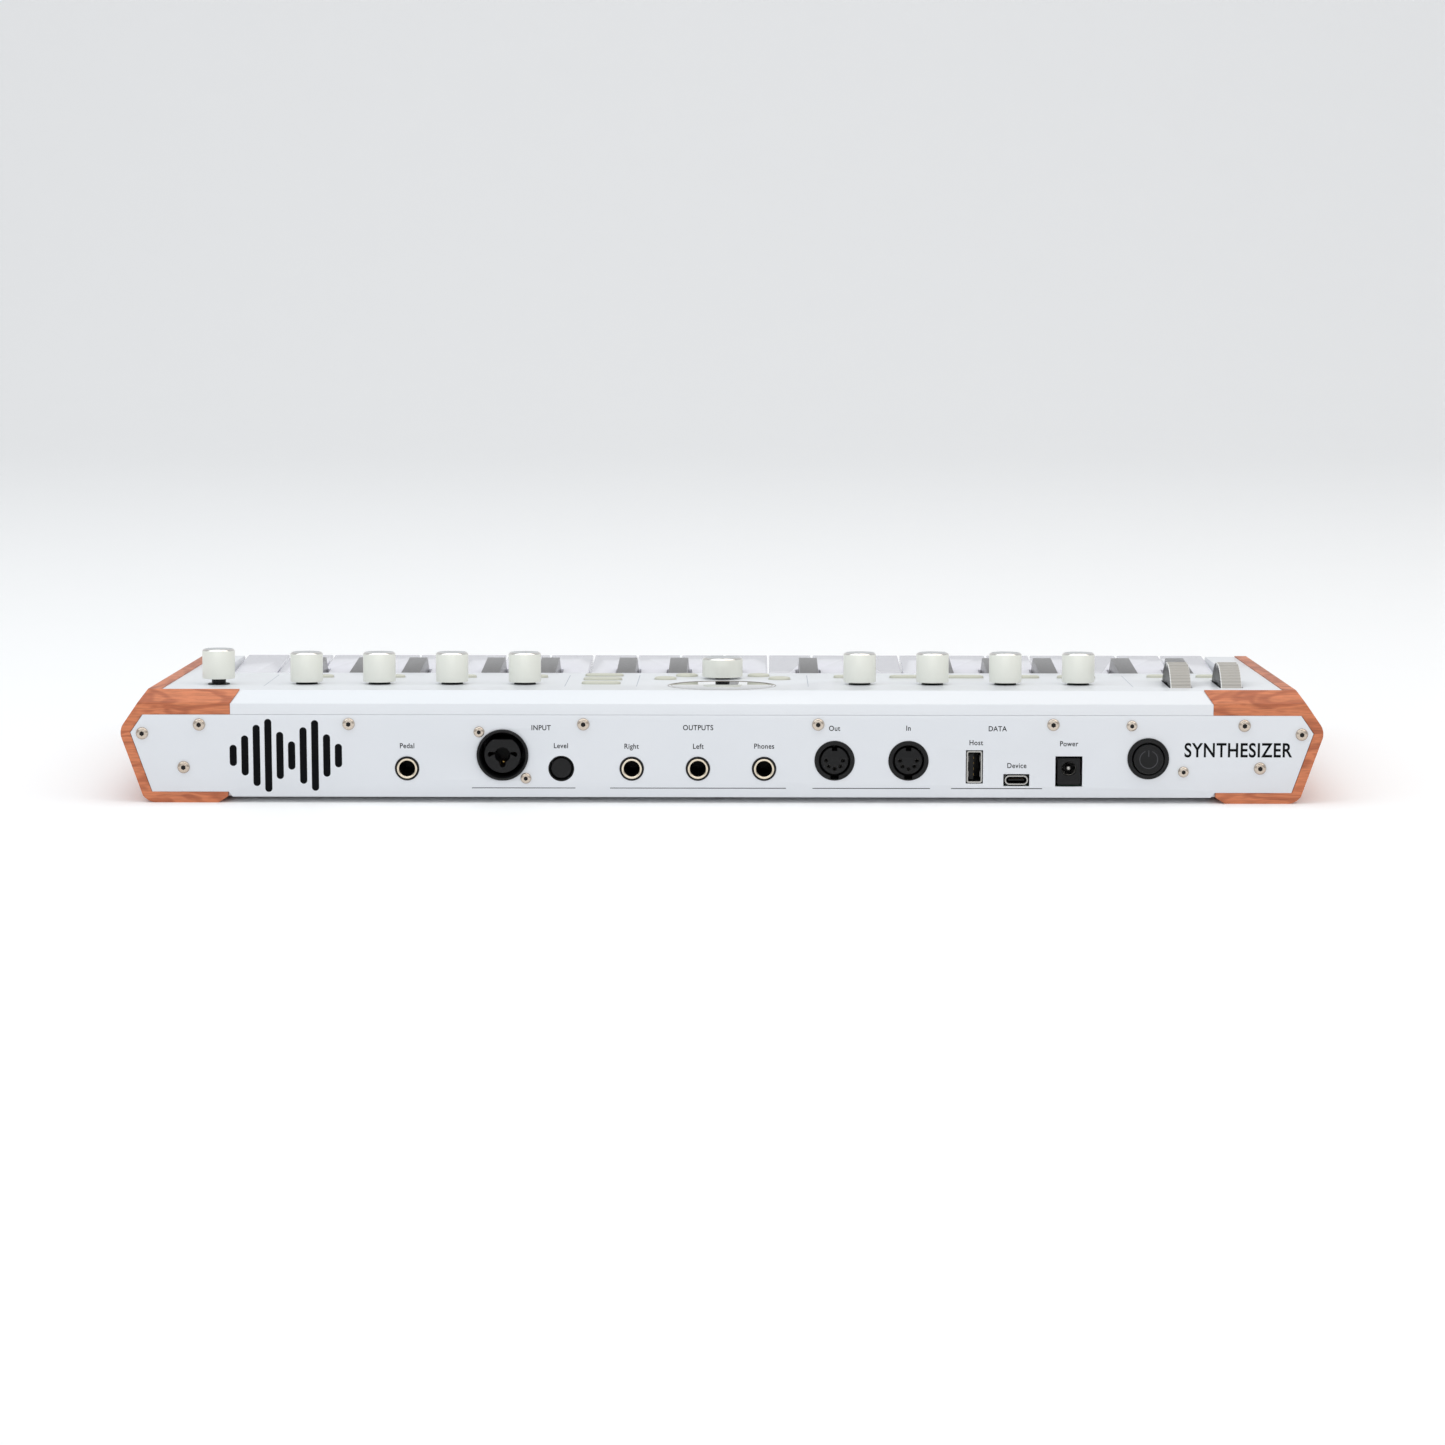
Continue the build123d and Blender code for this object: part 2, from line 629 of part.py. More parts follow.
# ----------------------------------------------------------- the shells
def lower_case():
    """Bottom tray with side walls, a front wall, corner blocks and standing posts."""
    inner = RUNNER_X - CAP_GAP
    step = inner - FLOOR_STEP
    wall_x = CAP_INNER - CAP_GAP
    front = DEPTH - FRONT_WALL_SETBACK
    tray = block(-inner, inner, PLATE, front, FLOOR_Z, FLOOR_TOP)
    tray += block(-inner, inner, front - FLOOR, front, FLOOR_Z, FRONT_WALL_TOP)
    for side in (-1, 1):
        low, high = sorted((side * step, side * inner))
        tray += block(low, high, PLATE, front, FLOOR_Z, SIDE_FLOOR_TOP)
        low, high = sorted((side * step, side * wall_x))
        tray += block(low, high, PLATE, front, SIDE_FLOOR_Z, SIDE_FLOOR_TOP)
        low, high = sorted((side * step, side * (CHEEK_X - SEAM)))
        tray += block(low, high, front - FLOOR, front, SIDE_FLOOR_Z, FRONT_WALL_TOP)
        low, high = sorted((side * (wall_x - FLOOR), side * wall_x))
        tray += block(low, high, PLATE, front, SIDE_FLOOR_Z, SIDE_WALL_TOP)
        low, high = sorted((side * (CAP_INNER - CORNER_POST_WIDTH), side * wall_x))
        tray += block(low, high, PLATE, PLATE + SCREW_LENGTH, SIDE_FLOOR_Z, REAR_HEIGHT - SEAM)
        for x, z in corner_screws():
            tray -= rod_y(side * x, z, SCREW_SHANK, 0, PLATE + SCREW_LENGTH)
    for x in IO_POST_XS:
        tray += rod_z(x, IO_POST_DEPTH, IO_POST_RADIUS, FLOOR_Z, IO_BOARD_Z)
    for x in FLOOR_SCREW_XS:
        for depth in FLOOR_SCREW_DEPTHS:
            tray += rod_z(x, depth, FLOOR_BOSS, FLOOR_Z, SIDE_FLOOR_TOP)
            tray -= rod_z(x, depth, FLOOR_SCREW_SHANK, FLOOR_Z - CUT, FRAME_TOP)
            tray -= rod_z(x, depth, FLOOR_SCREW_HEAD, FLOOR_Z - CUT, FLOOR_Z + FLOOR_SCREW_HEAD_HEIGHT)
    return tray


def corner_screws():
    """Plate screws that go into the lower case's corner blocks, on +X."""
    return [(CAP_INNER - inset, z) for inset, z in CORNER_SCREWS]


def top_cover():
    """Panel with its rear band, front lip and the two arms beside the keys."""
    edge = CAP_INNER - CAP_GAP
    under = SHELL / math.cos(SLOPE)
    back = CHAMFER_DEPTH + CAP_GAP
    panel = [
        (back, panel_z(back)),
        (PANEL_FRONT, panel_z(PANEL_FRONT)),
        (PANEL_FRONT, panel_z(PANEL_FRONT) - LIP_DROP),
        (PANEL_FRONT - LIP, panel_z(PANEL_FRONT) - LIP_DROP),
        (PANEL_FRONT - LIP, panel_z(PANEL_FRONT - LIP) - under),
        (back, panel_z(back) - under),
    ]
    cover = prism_x(panel, -edge, edge)
    cover += rear_band()
    for side in (-1, 1):
        cover += cheek_arm(side)
    cover -= display_recess()
    for x in KNOB_XS + [VOLUME_X]:
        depth = VOLUME_DEPTH if x == VOLUME_X else KNOB_DEPTH
        cover -= panel_rod(x, depth, SHAFT_HOLE, -2 * SHELL, CUT)
    cover -= panel_rod(0, ENCODER_DEPTH, ENCODER_SHAFT + ENCODER_SLIP, -2 * SHELL, CUT)
    for x in WHEEL_XS:
        cover += wheel_ears(x)
        slot = WHEEL_WIDTH / 2 + WHEEL_SLOT_SIDE
        cover -= rod_x(WHEEL_DEPTH, wheel_axis_z(), WHEEL_RADIUS + WHEEL_SLOT_END, x - slot, x + slot)
    for x, depth in pill_places():
        cover -= panel_pill(x, depth, PILL_LENGTH + 2 * SLIP, PILL_WIDTH + 2 * SLIP, -2 * SHELL, CUT)
    for x, depth in ROUND_BUTTONS:
        cover -= panel_rod(x, depth, ROUND_RADIUS + SLIP, -2 * SHELL, CUT)
    for x in BUTTON_POST_XS:
        cover += panel_rod(x, BUTTON_POST_DEPTH, BUTTON_POST_RADIUS, -BUTTON_BOARD_DROP, -SHELL / 2)
    return cover


def rear_band():
    """The cover's rear band and chamfer, with the rail that the plate screws enter."""
    length = BLOCK_X - CAP_GAP
    lap = CHAMFER_DEPTH + BAND_LAP
    band = [
        (0, SEAM_Z),
        (0, BAND_TOP),
        (CHAMFER_DEPTH, PANEL_BACK_Z),
        (lap, panel_z(lap)),
        (lap, panel_z(lap) - SHELL),
        (PLATE + BAND_WALL, BAND_TOP),
        (PLATE + BAND_WALL, SEAM_Z),
    ]
    solid = prism_x(band, -length, length)
    slant_end = CORNER_BLOCK_SLANT
    for side in (-1, 1):
        corner = [
            (side * (length + CUT), SEAM_Z - CUT),
            (side * length, SEAM_Z - CUT),
            (side * length, BAND_TOP),
            (side * (length - slant_end), PANEL_BACK_Z),
            (side * (length - slant_end), PANEL_BACK_Z + CUT),
            (side * (length + CUT), PANEL_BACK_Z + CUT),
        ]
        solid -= prism_y(corner, -CUT, CHAMFER_DEPTH + CAP_GAP)
    rail = block(-length, length, PLATE + SEAM, PLATE + SCREW_LENGTH, RAIL_LOW, SEAM_Z)
    rail += block(-length, length, PLATE + SEAM, PLATE + BAND_WALL, REAR_HEIGHT - CUT, BAND_TOP - CUT)
    for low, high, top in rail_pockets():
        rail -= block(low, high, PLATE, PLATE + SCREW_LENGTH + CUT, 0, top)
    for x in band_screw_xs():
        rail -= rod_y(x, PLATE_SCREW_Z, SCREW_SHANK, 0, PLATE + SCREW_LENGTH + CUT)
    return solid + rail


def rail_pockets():
    """Spans of the rail cut away over the tall sockets: two X limits and a top."""
    combo_half = COMBO_SCREW[0] + FLANGE_EDGE + SLIP
    power_half = POWER_TAB + SLIP
    power_x = POWER_X + POWER_SCREW_HIGH[0]
    return [
        (COMBO_X - combo_half, COMBO_X + combo_half, COMBO_Z + COMBO_FLANGE + SLIP),
        (POWER_X - power_half, power_x + power_half, POWER_Z + POWER_SCREW_HIGH[1] + power_half),
    ]


def band_screw_xs():
    """Screws along the top of the rear plate."""
    return [PLATE_SCREW_FIRST + PLATE_SCREW_PITCH * i for i in range(4)]


def cheek_arm(side):
    """Arm beside the keys: top, inner wall and front wall."""
    front = DEPTH - FRONT_CHAMFER
    low = SIDE_FLOOR_TOP + SEAM
    back = PANEL_FRONT - ARM_LAP
    inner_back = back - CUT
    outer = [
        (back, panel_z(back)),
        (front, panel_z(front)),
        (DEPTH, panel_z(front) - FRONT_CHAMFER),
        (DEPTH, low),
        (back, low),
    ]
    inner = [
        (inner_back, panel_z(inner_back) - SHELL),
        (front - CUT, panel_z(front - CUT) - SHELL),
        (DEPTH - SHELL, panel_z(front) - FRONT_CHAMFER - CUT),
        (DEPTH - SHELL, low - CUT),
        (inner_back, low - CUT),
    ]
    low_x, high_x = sorted((side * CHEEK_X, side * (CAP_INNER - CAP_GAP)))
    in_low, in_high = sorted((side * (CHEEK_X + ARM_WALL), side * (CAP_INNER + CUT)))
    return prism_x(outer, low_x, high_x) - prism_x(inner, in_low, in_high)


def display_recess():
    """Round recess for the lens, with a window and the ledge it rests on."""
    recess = panel_rod(0, DISPLAY_DEPTH, DISPLAY_RADIUS + SEAM, -DISPLAY_THICKNESS, CUT)
    window = panel_rod(0, DISPLAY_DEPTH, DISPLAY_RADIUS - DISPLAY_LEDGE, -2 * SHELL, CUT)
    return recess + window


def wheel_axis_z():
    """Height of the wheels' axle."""
    return panel_z(WHEEL_DEPTH) + WHEEL_RISE - WHEEL_RADIUS


def ear_edges(x):
    """The inner faces of the two ears that carry one wheel."""
    half = WHEEL_WIDTH / 2 + WHEEL_SLOT_SIDE + EAR_SLIP
    return x - half, x + half


def wheel_ears(x):
    """Two ears under the panel that carry one wheel's axle."""
    z = wheel_axis_z()
    low, high = ear_edges(x)
    depth_low = WHEEL_DEPTH - EAR_HALF_DEPTH
    depth_high = WHEEL_DEPTH + EAR_HALF_DEPTH
    ear_top = panel_z(depth_high) - SHELL / 2
    ears = block(low - EAR, low, depth_low, depth_high, z - EAR_DROP, ear_top)
    ears += block(high, high + EAR, depth_low, depth_high, z - EAR_DROP, ear_top)
    reach = EAR + CUT
    return ears - rod_x(WHEEL_DEPTH, z, WHEEL_AXLE + PIVOT_CLEARANCE, low - reach, high + reach)


def wheel(x):
    """Performance wheel with a finger notch and axle stubs."""
    z = wheel_axis_z()
    half = WHEEL_WIDTH / 2
    rim = rod_x(WHEEL_DEPTH, z, WHEEL_RADIUS, x - half, x + half)
    notch = [
        (WHEEL_DEPTH - WHEEL_NOTCH, z + WHEEL_RADIUS + CUT),
        (WHEEL_DEPTH + WHEEL_NOTCH, z + WHEEL_RADIUS + CUT),
        (WHEEL_DEPTH, z + WHEEL_RADIUS - WHEEL_NOTCH),
    ]
    rim -= prism_x(notch, x - half - CUT, x + half + CUT)
    low, high = ear_edges(x)
    return rim + rod_x(WHEEL_DEPTH, z, WHEEL_AXLE, low - EAR, high + EAR)


# -------------------------------------------------------- rear fittings
def rear_plate():
    """Flat steel plate with a cut-out for every socket."""
    right = plate_outline()
    left = [(-x, z) for x, z in reversed(right)]
    plate = prism_y(right + left, 0, PLATE)
    reach = PLATE + CUT
    for x in JACKS.values():
        plate -= rod_y(x, JACK_Z, JACK_NOSE, -CUT, reach)
    plate -= rod_y(COMBO_X, COMBO_Z, COMBO_RADIUS, -CUT, reach)
    plate -= rod_y(GAIN_X, JACK_Z, GAIN_HOLE, -CUT, reach)
    for x in DIN_X:
        plate -= rod_y(x, DIN_Z, DIN_RADIUS, -CUT, reach)
    for socket in (USB_A, USB_C, INLET):
        plate -= socket_block(socket, SOCKET_RIM, -CUT, reach)
    plate -= rod_y(POWER_X, POWER_Z, POWER_BODY, -CUT, reach)
    for x, z in large_screws() + small_screws():
        plate -= rod_y(x, z, SCREW_SHANK, -CUT, reach)
    return plate


def socket_block(socket, rim, depth_low, depth_high):
    """Block of a socket's size, grown by a rim on every side."""
    x, z, width, height = socket
    across = width / 2 + rim
    up = height / 2 + rim
    return block(x - across, x + across, depth_low, depth_high, z - up, z + up)


def large_screws():
    """Places of the plate's own screws."""
    places = [(x, PLATE_SCREW_Z) for x in band_screw_xs()]
    for side in (-1, 1):
        places += [(side * x, z) for x, z in corner_screws() + cap_screws()]
    return places


def small_screws():
    """Places of the screws that hold the combo socket and the power switch."""
    right, up = COMBO_SCREW
    places = [(COMBO_X + right, COMBO_Z + up), (COMBO_X - right, COMBO_Z - up)]
    for across, rise in (POWER_SCREW_HIGH, POWER_SCREW_LOW):
        places.append((POWER_X + across, POWER_Z + rise))
    return places


def screw(x, z, head):
    """Button-head screw through the rear plate, with a hexagon socket."""
    dome = rod_y(x, z, head, -SCREW_HEAD_PROUD, 0)
    dome = chamfer(dome.edges().sort_by(Axis.Y)[-1:], SCREW_DOME)
    hexagon = RegularPolygon(head * SCREW_HEX_SHARE, 6)
    face = Plane.XZ.offset(-y_at(-SCREW_HEAD_PROUD)) * Pos(x, z) * hexagon
    dome -= extrude(face, amount=SCREW_HEX_DEPTH, dir=(0, -1, 0))
    return dome + rod_y(x, z, SCREW_SHANK, 0, SCREW_LENGTH)


def floor_screw(x, depth):
    """Screw through the floor into the key frame."""
    head_top = FLOOR_Z + FLOOR_SCREW_HEAD_HEIGHT
    head = rod_z(x, depth, FLOOR_SCREW_HEAD, FLOOR_Z, head_top)
    return head + rod_z(x, depth, FLOOR_SCREW_SHANK, head_top, FRAME_TOP)


def jack_socket(x):
    """Quarter-inch socket body with its nose through the plate."""
    half = JACK_BODY / 2
    body = block(x - half, x + half, PLATE, PLATE + JACK_DEPTH, IO_BOARD_TOP, JACK_Z + half)
    body += rod_y(x, JACK_Z, JACK_NOSE, 0, PLATE + CUT)
    body -= rod_y(x, JACK_Z, FERRULE, -CUT, FERRULE_DEPTH)
    return body - rod_y(x, JACK_Z, JACK_BORE, -CUT, PLATE + JACK_DEPTH - JACK_WALL)


def jack_ferrule(x):
    """Bright ring at the mouth of a socket."""
    ring = rod_y(x, JACK_Z, FERRULE, -FERRULE_PROUD, FERRULE_DEPTH)
    return ring - rod_y(x, JACK_Z, JACK_BORE, -CUT, FERRULE_DEPTH + CUT)


def din_socket(x):
    """Round five-pin socket: island, ring groove, pin holes and keyway."""
    low = IO_BOARD_TOP
    body = block(x - DIN_RADIUS, x + DIN_RADIUS, PLATE, PLATE + DIN_DEPTH, low, DIN_Z + DIN_RADIUS)
    body += rod_y(x, DIN_Z, DIN_RADIUS, 0, PLATE + CUT)
    groove = rod_y(x, DIN_Z, DIN_ISLAND + DIN_GROOVE, -CUT, DIN_HOLE_END)
    groove -= rod_y(x, DIN_Z, DIN_ISLAND, 0, DIN_DEPTH)
    body -= groove
    for step in range(DIN_PINS):
        angle = math.radians(180 + DIN_PIN_STEP * step)
        pin_x = x + DIN_PIN_CIRCLE * math.cos(angle)
        pin_z = DIN_Z + DIN_PIN_CIRCLE * math.sin(angle)
        body -= rod_y(pin_x, pin_z, DIN_PIN_HOLE, -CUT, DIN_HOLE_END)
    return body


def combo_socket():
    """Combined three-pin and quarter-inch socket with its screw flange."""
    half = COMBO_SCREW[0] + FLANGE_EDGE
    low_z, high_z = COMBO_Z - COMBO_FLANGE, COMBO_Z + COMBO_FLANGE
    body = block(COMBO_X - half, COMBO_X + half, PLATE, PLATE + FLANGE, low_z, high_z)
    body += rod_y(COMBO_X, COMBO_Z, COMBO_RADIUS, 0, PLATE + COMBO_DEPTH)
    groove = rod_y(COMBO_X, COMBO_Z, COMBO_ISLAND + COMBO_SHELL_GAP, -CUT, COMBO_RING_END)
    groove -= rod_y(COMBO_X, COMBO_Z, COMBO_ISLAND, 0, COMBO_DEPTH)
    body -= groove
    body -= rod_y(COMBO_X, COMBO_Z, JACK_BORE, -CUT, COMBO_DEPTH - COMBO_WALL)
    for angle in (0, 180, 270):
        pin_x = COMBO_X + COMBO_PIN_CIRCLE * math.cos(math.radians(angle))
        pin_z = COMBO_Z + COMBO_PIN_CIRCLE * math.sin(math.radians(angle))
        body -= rod_y(pin_x, pin_z, COMBO_PIN_HOLE, -CUT, COMBO_PIN_END)
    for x, z in small_screws()[:2]:
        body -= rod_y(x, z, SCREW_SHANK, -CUT, PLATE + FLANGE + CUT)
    return body


def usb_socket(socket, depth, tongue):
    """Thin-walled metal connector shell with the contact tongue inside."""
    x, z, width, height = socket
    across, up = tongue[0] / 2, tongue[1] / 2
    shell = socket_block(socket, METAL_SHELL, USB_FACE, depth)
    shell -= socket_block(socket, 0, -CUT, depth - CUT)
    shell += block(x - across, x + across, USB_TONGUE_START, depth - CUT / 2, z - up, z + up)
    foot = USB_FOOT / 2
    return shell + block(x - foot, x + foot, PLATE, depth, IO_BOARD_TOP, z - height / 2 - METAL_SHELL / 2)


def power_inlet():
    """Barrel-plug inlet: square body, round bore and centre pin."""
    x, z, width, height = INLET
    foot = INLET_FOOT / 2
    body = socket_block(INLET, 0, 0, INLET_DEPTH)
    body += block(x - foot, x + foot, PLATE, INLET_DEPTH, IO_BOARD_TOP, z)
    body -= rod_y(x, z + INLET_RISE, INLET_BORE, -CUT, INLET_BORE_END)
    return body + rod_y(x, z + INLET_RISE, INLET_PIN, INLET_PIN_START, INLET_BORE_END + CUT)


def power_switch_housing():
    """Round switch body with a raised bezel and its screw tab."""
    body = rod_y(POWER_X, POWER_Z, POWER_BODY, 0, POWER_DEPTH)
    body += rod_y(POWER_X, POWER_Z, POWER_BEZEL, -POWER_BEZEL_PROUD, 0)
    places = small_screws()[2:]
    for x, z in places:
        low_x, high_x = sorted((x, POWER_X))
        tab = (low_x - POWER_TAB, high_x + POWER_TAB, PLATE, PLATE + FLANGE)
        body += block(*tab, z - POWER_TAB, z + POWER_TAB)
        low_z, high_z = sorted((z, POWER_Z))
        body += block(POWER_X - POWER_TAB, POWER_X + POWER_TAB, PLATE, PLATE + FLANGE, low_z, high_z)
    for x, z in places:
        body -= rod_y(x, z, SCREW_SHANK, -CUT, PLATE + FLANGE + CUT)
    return body - rod_y(POWER_X, POWER_Z, POWER_CAP + SLIP, -POWER_BEZEL_PROUD - CUT, POWER_WELL)


def power_button():
    """Push cap of the power switch."""
    return rod_y(POWER_X, POWER_Z, POWER_CAP, -POWER_PROUD, POWER_WELL - POWER_TRAVEL - SLIP)


def gain_knob():
    """Recessed input-gain knob on its own shaft."""
    face = rod_y(GAIN_X, JACK_Z, GAIN_RADIUS, GAIN_RECESS, GAIN_LENGTH)
    return face + rod_y(GAIN_X, JACK_Z, SHAFT_RADIUS, GAIN_LENGTH, GAIN_POT_DEPTH + GAIN_SHAFT_IN_POT)


# -------------------------------------------------------- panel fittings
def knob(x, depth, radius, gap, height):
    """Turned knob with a dished top, on a shaft into the pot below."""
    body = panel_rod(x, depth, radius, gap, gap + height)
    body = chamfer(body.edges().sort_by(Axis.Z)[-1:], KNOB_CHAMFER)
    top = gap + height
    body -= panel_rod(x, depth, radius - KNOB_DISH_RIM, top - KNOB_DISH, top + CUT)
    return body + panel_rod(x, depth, SHAFT_RADIUS, -SHELL - SHAFT_IN_POT, gap + CUT)


def encoder_knob():
    """Large knob that turns on the encoder's push shaft."""
    top = ENCODER_GAP + ENCODER_HEIGHT
    body = panel_rod(0, ENCODER_DEPTH, ENCODER_RADIUS, ENCODER_GAP, top)
    body = chamfer(body.edges().sort_by(Axis.Z)[-1:], KNOB_CHAMFER)
    body -= panel_rod(0, ENCODER_DEPTH, ENCODER_RADIUS - KNOB_DISH_RIM, top - KNOB_DISH, top + CUT)
    bore = ENCODER_SHAFT_CORE + PIVOT_CLEARANCE
    return body - panel_rod(0, ENCODER_DEPTH, bore, 0, top - ENCODER_ROOF)


def encoder_shaft():
    """Push shaft of the main encoder, with the thin core the knob turns on."""
    shaft = panel_rod(0, ENCODER_DEPTH, ENCODER_SHAFT, -ENCODER_SHAFT_LOW, ENCODER_GAP - CAP_GAP)
    core_top = ENCODER_GAP + ENCODER_HEIGHT - ENCODER_ROOF - CAP_GAP
    return shaft + panel_rod(0, ENCODER_DEPTH, ENCODER_SHAFT_CORE, ENCODER_GAP - CUT, core_top)


def display_lens():
    """Glossy round lens over the screen."""
    return panel_rod(0, DISPLAY_DEPTH, DISPLAY_RADIUS, -DISPLAY_THICKNESS, 0)


def left_pills():
    """Pill buttons under the four left knobs."""
    return [(x, PILL_DEPTH) for x in LEFT_KNOBS]


def column_pills():
    """The column of three pill buttons beside the display."""
    return [(COLUMN_X, depth) for depth in COLUMN_DEPTHS]


def right_pills():
    """Row of pill buttons under the right knobs."""
    return [(RIGHT_PILL_FIRST - RIGHT_PILL_PITCH * i, PILL_DEPTH) for i in range(RIGHT_PILL_COUNT)]


def octave_pills():
    """The two pill buttons in front of the wheels."""
    return [(x + OCTAVE_BUTTON_SHIFT, OCTAVE_BUTTON_DEPTH) for x in WHEEL_XS]


def pill_places():
    """Every pill button."""
    return left_pills() + column_pills() + right_pills() + octave_pills()


def pill_button(x, depth):
    """Pill cap with the flange that keeps it under the panel."""
    length, width = PILL_LENGTH, PILL_WIDTH
    flange_top = -SHELL - BUTTON_ROOM
    cap = panel_pill(x, depth, length, width, flange_top, BUTTON_PROUD)
    low = flange_top - BUTTON_FLANGE
    edge = 2 * BUTTON_EDGE
    return cap + panel_pill(x, depth, length + edge, width + edge, low, flange_top)


def round_button(x, depth):
    """Round cap with the flange that keeps it under the panel."""
    flange_top = -SHELL - BUTTON_ROOM
    cap = panel_rod(x, depth, ROUND_RADIUS, flange_top, BUTTON_PROUD)
    return cap + panel_rod(x, depth, ROUND_RADIUS + BUTTON_EDGE, flange_top - BUTTON_FLANGE, flange_top)


def circuit_boards():
    """Socket board, knob board with its pots, and the button board."""
    io_low, io_high = INLET[0] - IO_BOARD_EDGE, JACKS["sustain"] + IO_BOARD_EDGE
    io_back = PLATE + FLANGE + IO_BOARD_BACK
    io_board = block(io_low, io_high, io_back, PLATE + IO_BOARD_LENGTH, IO_BOARD_Z, IO_BOARD_TOP)
    half = POT_SIZE / 2
    pot_end = GAIN_POT_DEPTH + GAIN_POT
    pot = block(GAIN_X - half, GAIN_X + half, GAIN_POT_DEPTH, pot_end, IO_BOARD_TOP, JACK_Z + half)
    shaft_end = GAIN_POT_DEPTH + GAIN_SHAFT_IN_POT + CUT
    io_board += pot - rod_y(GAIN_X, JACK_Z, SHAFT_RADIUS + PIVOT_CLEARANCE, 0, shaft_end)
    return io_board, knob_board(), button_board()


def button_board():
    """Board under the pill and round buttons, with the encoder's body, cut away round the wheels."""
    right = max(LEFT_KNOBS) + BUTTON_BOARD_EDGES[0]
    left = min(RIGHT_KNOBS) - BUTTON_BOARD_EDGES[1]
    back, front = BUTTON_BOARD_DEPTHS
    low = -BUTTON_BOARD_DROP - BUTTON_BOARD
    size = (right - left, front - back)
    board = panel_box((left + right) / 2, (back + front) / 2, *size, low, -BUTTON_BOARD_DROP)
    for x in WHEEL_XS:
        clear = WHEEL_RADIUS + WHEEL_BOARD_GAP
        board -= rod_x(WHEEL_DEPTH, wheel_axis_z(), clear, x - WHEEL_WIDTH, x + WHEEL_WIDTH)
    board += panel_box(0, ENCODER_DEPTH, POT_SIZE, POT_SIZE, low, -SHELL)
    bore = ENCODER_SHAFT + PIVOT_CLEARANCE
    return board - panel_rod(0, ENCODER_DEPTH, bore, -BUTTON_BOARD_DROP, CUT)


def knob_board():
    """Board under the knobs with one pot for each shaft and the round screen."""
    top = -SHELL - POT_HEIGHT
    right = VOLUME_X + KNOB_BOARD_EDGES[0]
    left = min(RIGHT_KNOBS) - KNOB_BOARD_EDGES[1]
    back, front = KNOB_BOARD_DEPTHS
    size = (right - left, front - back)
    board = panel_box((left + right) / 2, (back + front) / 2, *size, top - BOARD, top)
    places = [(x, KNOB_DEPTH) for x in KNOB_XS]
    places += [(VOLUME_X, VOLUME_DEPTH)]
    for x, depth in places:
        board += panel_box(x, depth, POT_SIZE, POT_SIZE, top, -SHELL)
        board -= panel_rod(x, depth, SHAFT_RADIUS + PIVOT_CLEARANCE, top + CUT, CUT)
    return board + panel_rod(0, DISPLAY_DEPTH, DISPLAY_SCREEN, top, -SHELL)


def rubber_foot(depth):
    """Round rubber foot under the floor."""
    return rod_z(0, depth, FOOT_RADIUS, 0, FLOOR_Z)


# ---------------------------------------------------------------- build
def build():
    """Write every node."""
    os.makedirs("parts", exist_ok=True)
    right_cap = end_cap()
    save("end_cap_right", right_cap)
    save("end_cap_left", mirror(right_cap, about=Plane.YZ))
    save("lower_case", lower_case())
    save("top_cover", top_cover())
    save("rear_plate", rear_plate())
    save("key_frame", key_frame())
    save("pivot_rod", rod_x(PIVOT_DEPTH, PIVOT_Z, PIVOT_RADIUS, -KEY_HALF, KEY_HALF))
    for index in range(WHITE_COUNT):
        save(f"white_key_{index + 1:02d}", white_key(index))
    for octave in range(OCTAVES):
        lines = [octave * OCTAVE_WHITES + step for step in BLACK_OFFSETS]
        save(f"black_keys_octave_{octave + 1}", *[black_key(line) for line in lines])
    for number, x in enumerate(KNOB_XS, 1):
        save(f"macro_knob_{number}", knob(x, KNOB_DEPTH, KNOB_RADIUS, KNOB_GAP, KNOB_HEIGHT))
    save("volume_knob", knob(VOLUME_X, VOLUME_DEPTH, KNOB_RADIUS, VOLUME_GAP, KNOB_HEIGHT))
    save("encoder_knob", encoder_knob())
    save("encoder_shaft", encoder_shaft())
    save("display_lens", display_lens())
    save("pitch_wheel", wheel(WHEEL_XS[1]))
    save("modulation_wheel", wheel(WHEEL_XS[0]))
    save("left_buttons", *[pill_button(*place) for place in left_pills() + column_pills()])
    save("right_buttons", *[pill_button(*place) for place in right_pills()])
    save("octave_buttons", *[pill_button(*place) for place in octave_pills()])
    save("round_buttons", *[round_button(*place) for place in ROUND_BUTTONS])
    save("circuit_boards", *circuit_boards())
    save("combo_socket", combo_socket())
    din_sockets = [din_socket(x) for x in DIN_X]
    save("jack_sockets", *[jack_socket(x) for x in JACKS.values()])
    save("jack_ferrules", *[jack_ferrule(x) for x in JACKS.values()])
    usb_a = usb_socket(USB_A, USB_A_DEPTH, USB_A_TONGUE)
    usb_c = usb_socket(USB_C, USB_C_DEPTH, USB_C_TONGUE)
    save("data_and_power_sockets", usb_a, usb_c, power_inlet(), *din_sockets)
    save("power_switch_housing", power_switch_housing())
    save("power_button", power_button())
    save("gain_knob", gain_knob())
    plate_screws = [screw(x, z, SCREW_HEAD) for x, z in large_screws()]
    plate_screws += [screw(x, z, SMALL_HEAD) for x, z in small_screws()]
    floor_screws = [floor_screw(x, depth) for x in FLOOR_SCREW_XS for depth in FLOOR_SCREW_DEPTHS]
    save("screws", *plate_screws, *floor_screws)
    save("rubber_feet", *[rubber_foot(depth) for depth in FOOT_DEPTHS])


build()
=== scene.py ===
import json
import math

import bmesh
import bpy
from mathutils import Matrix, Vector


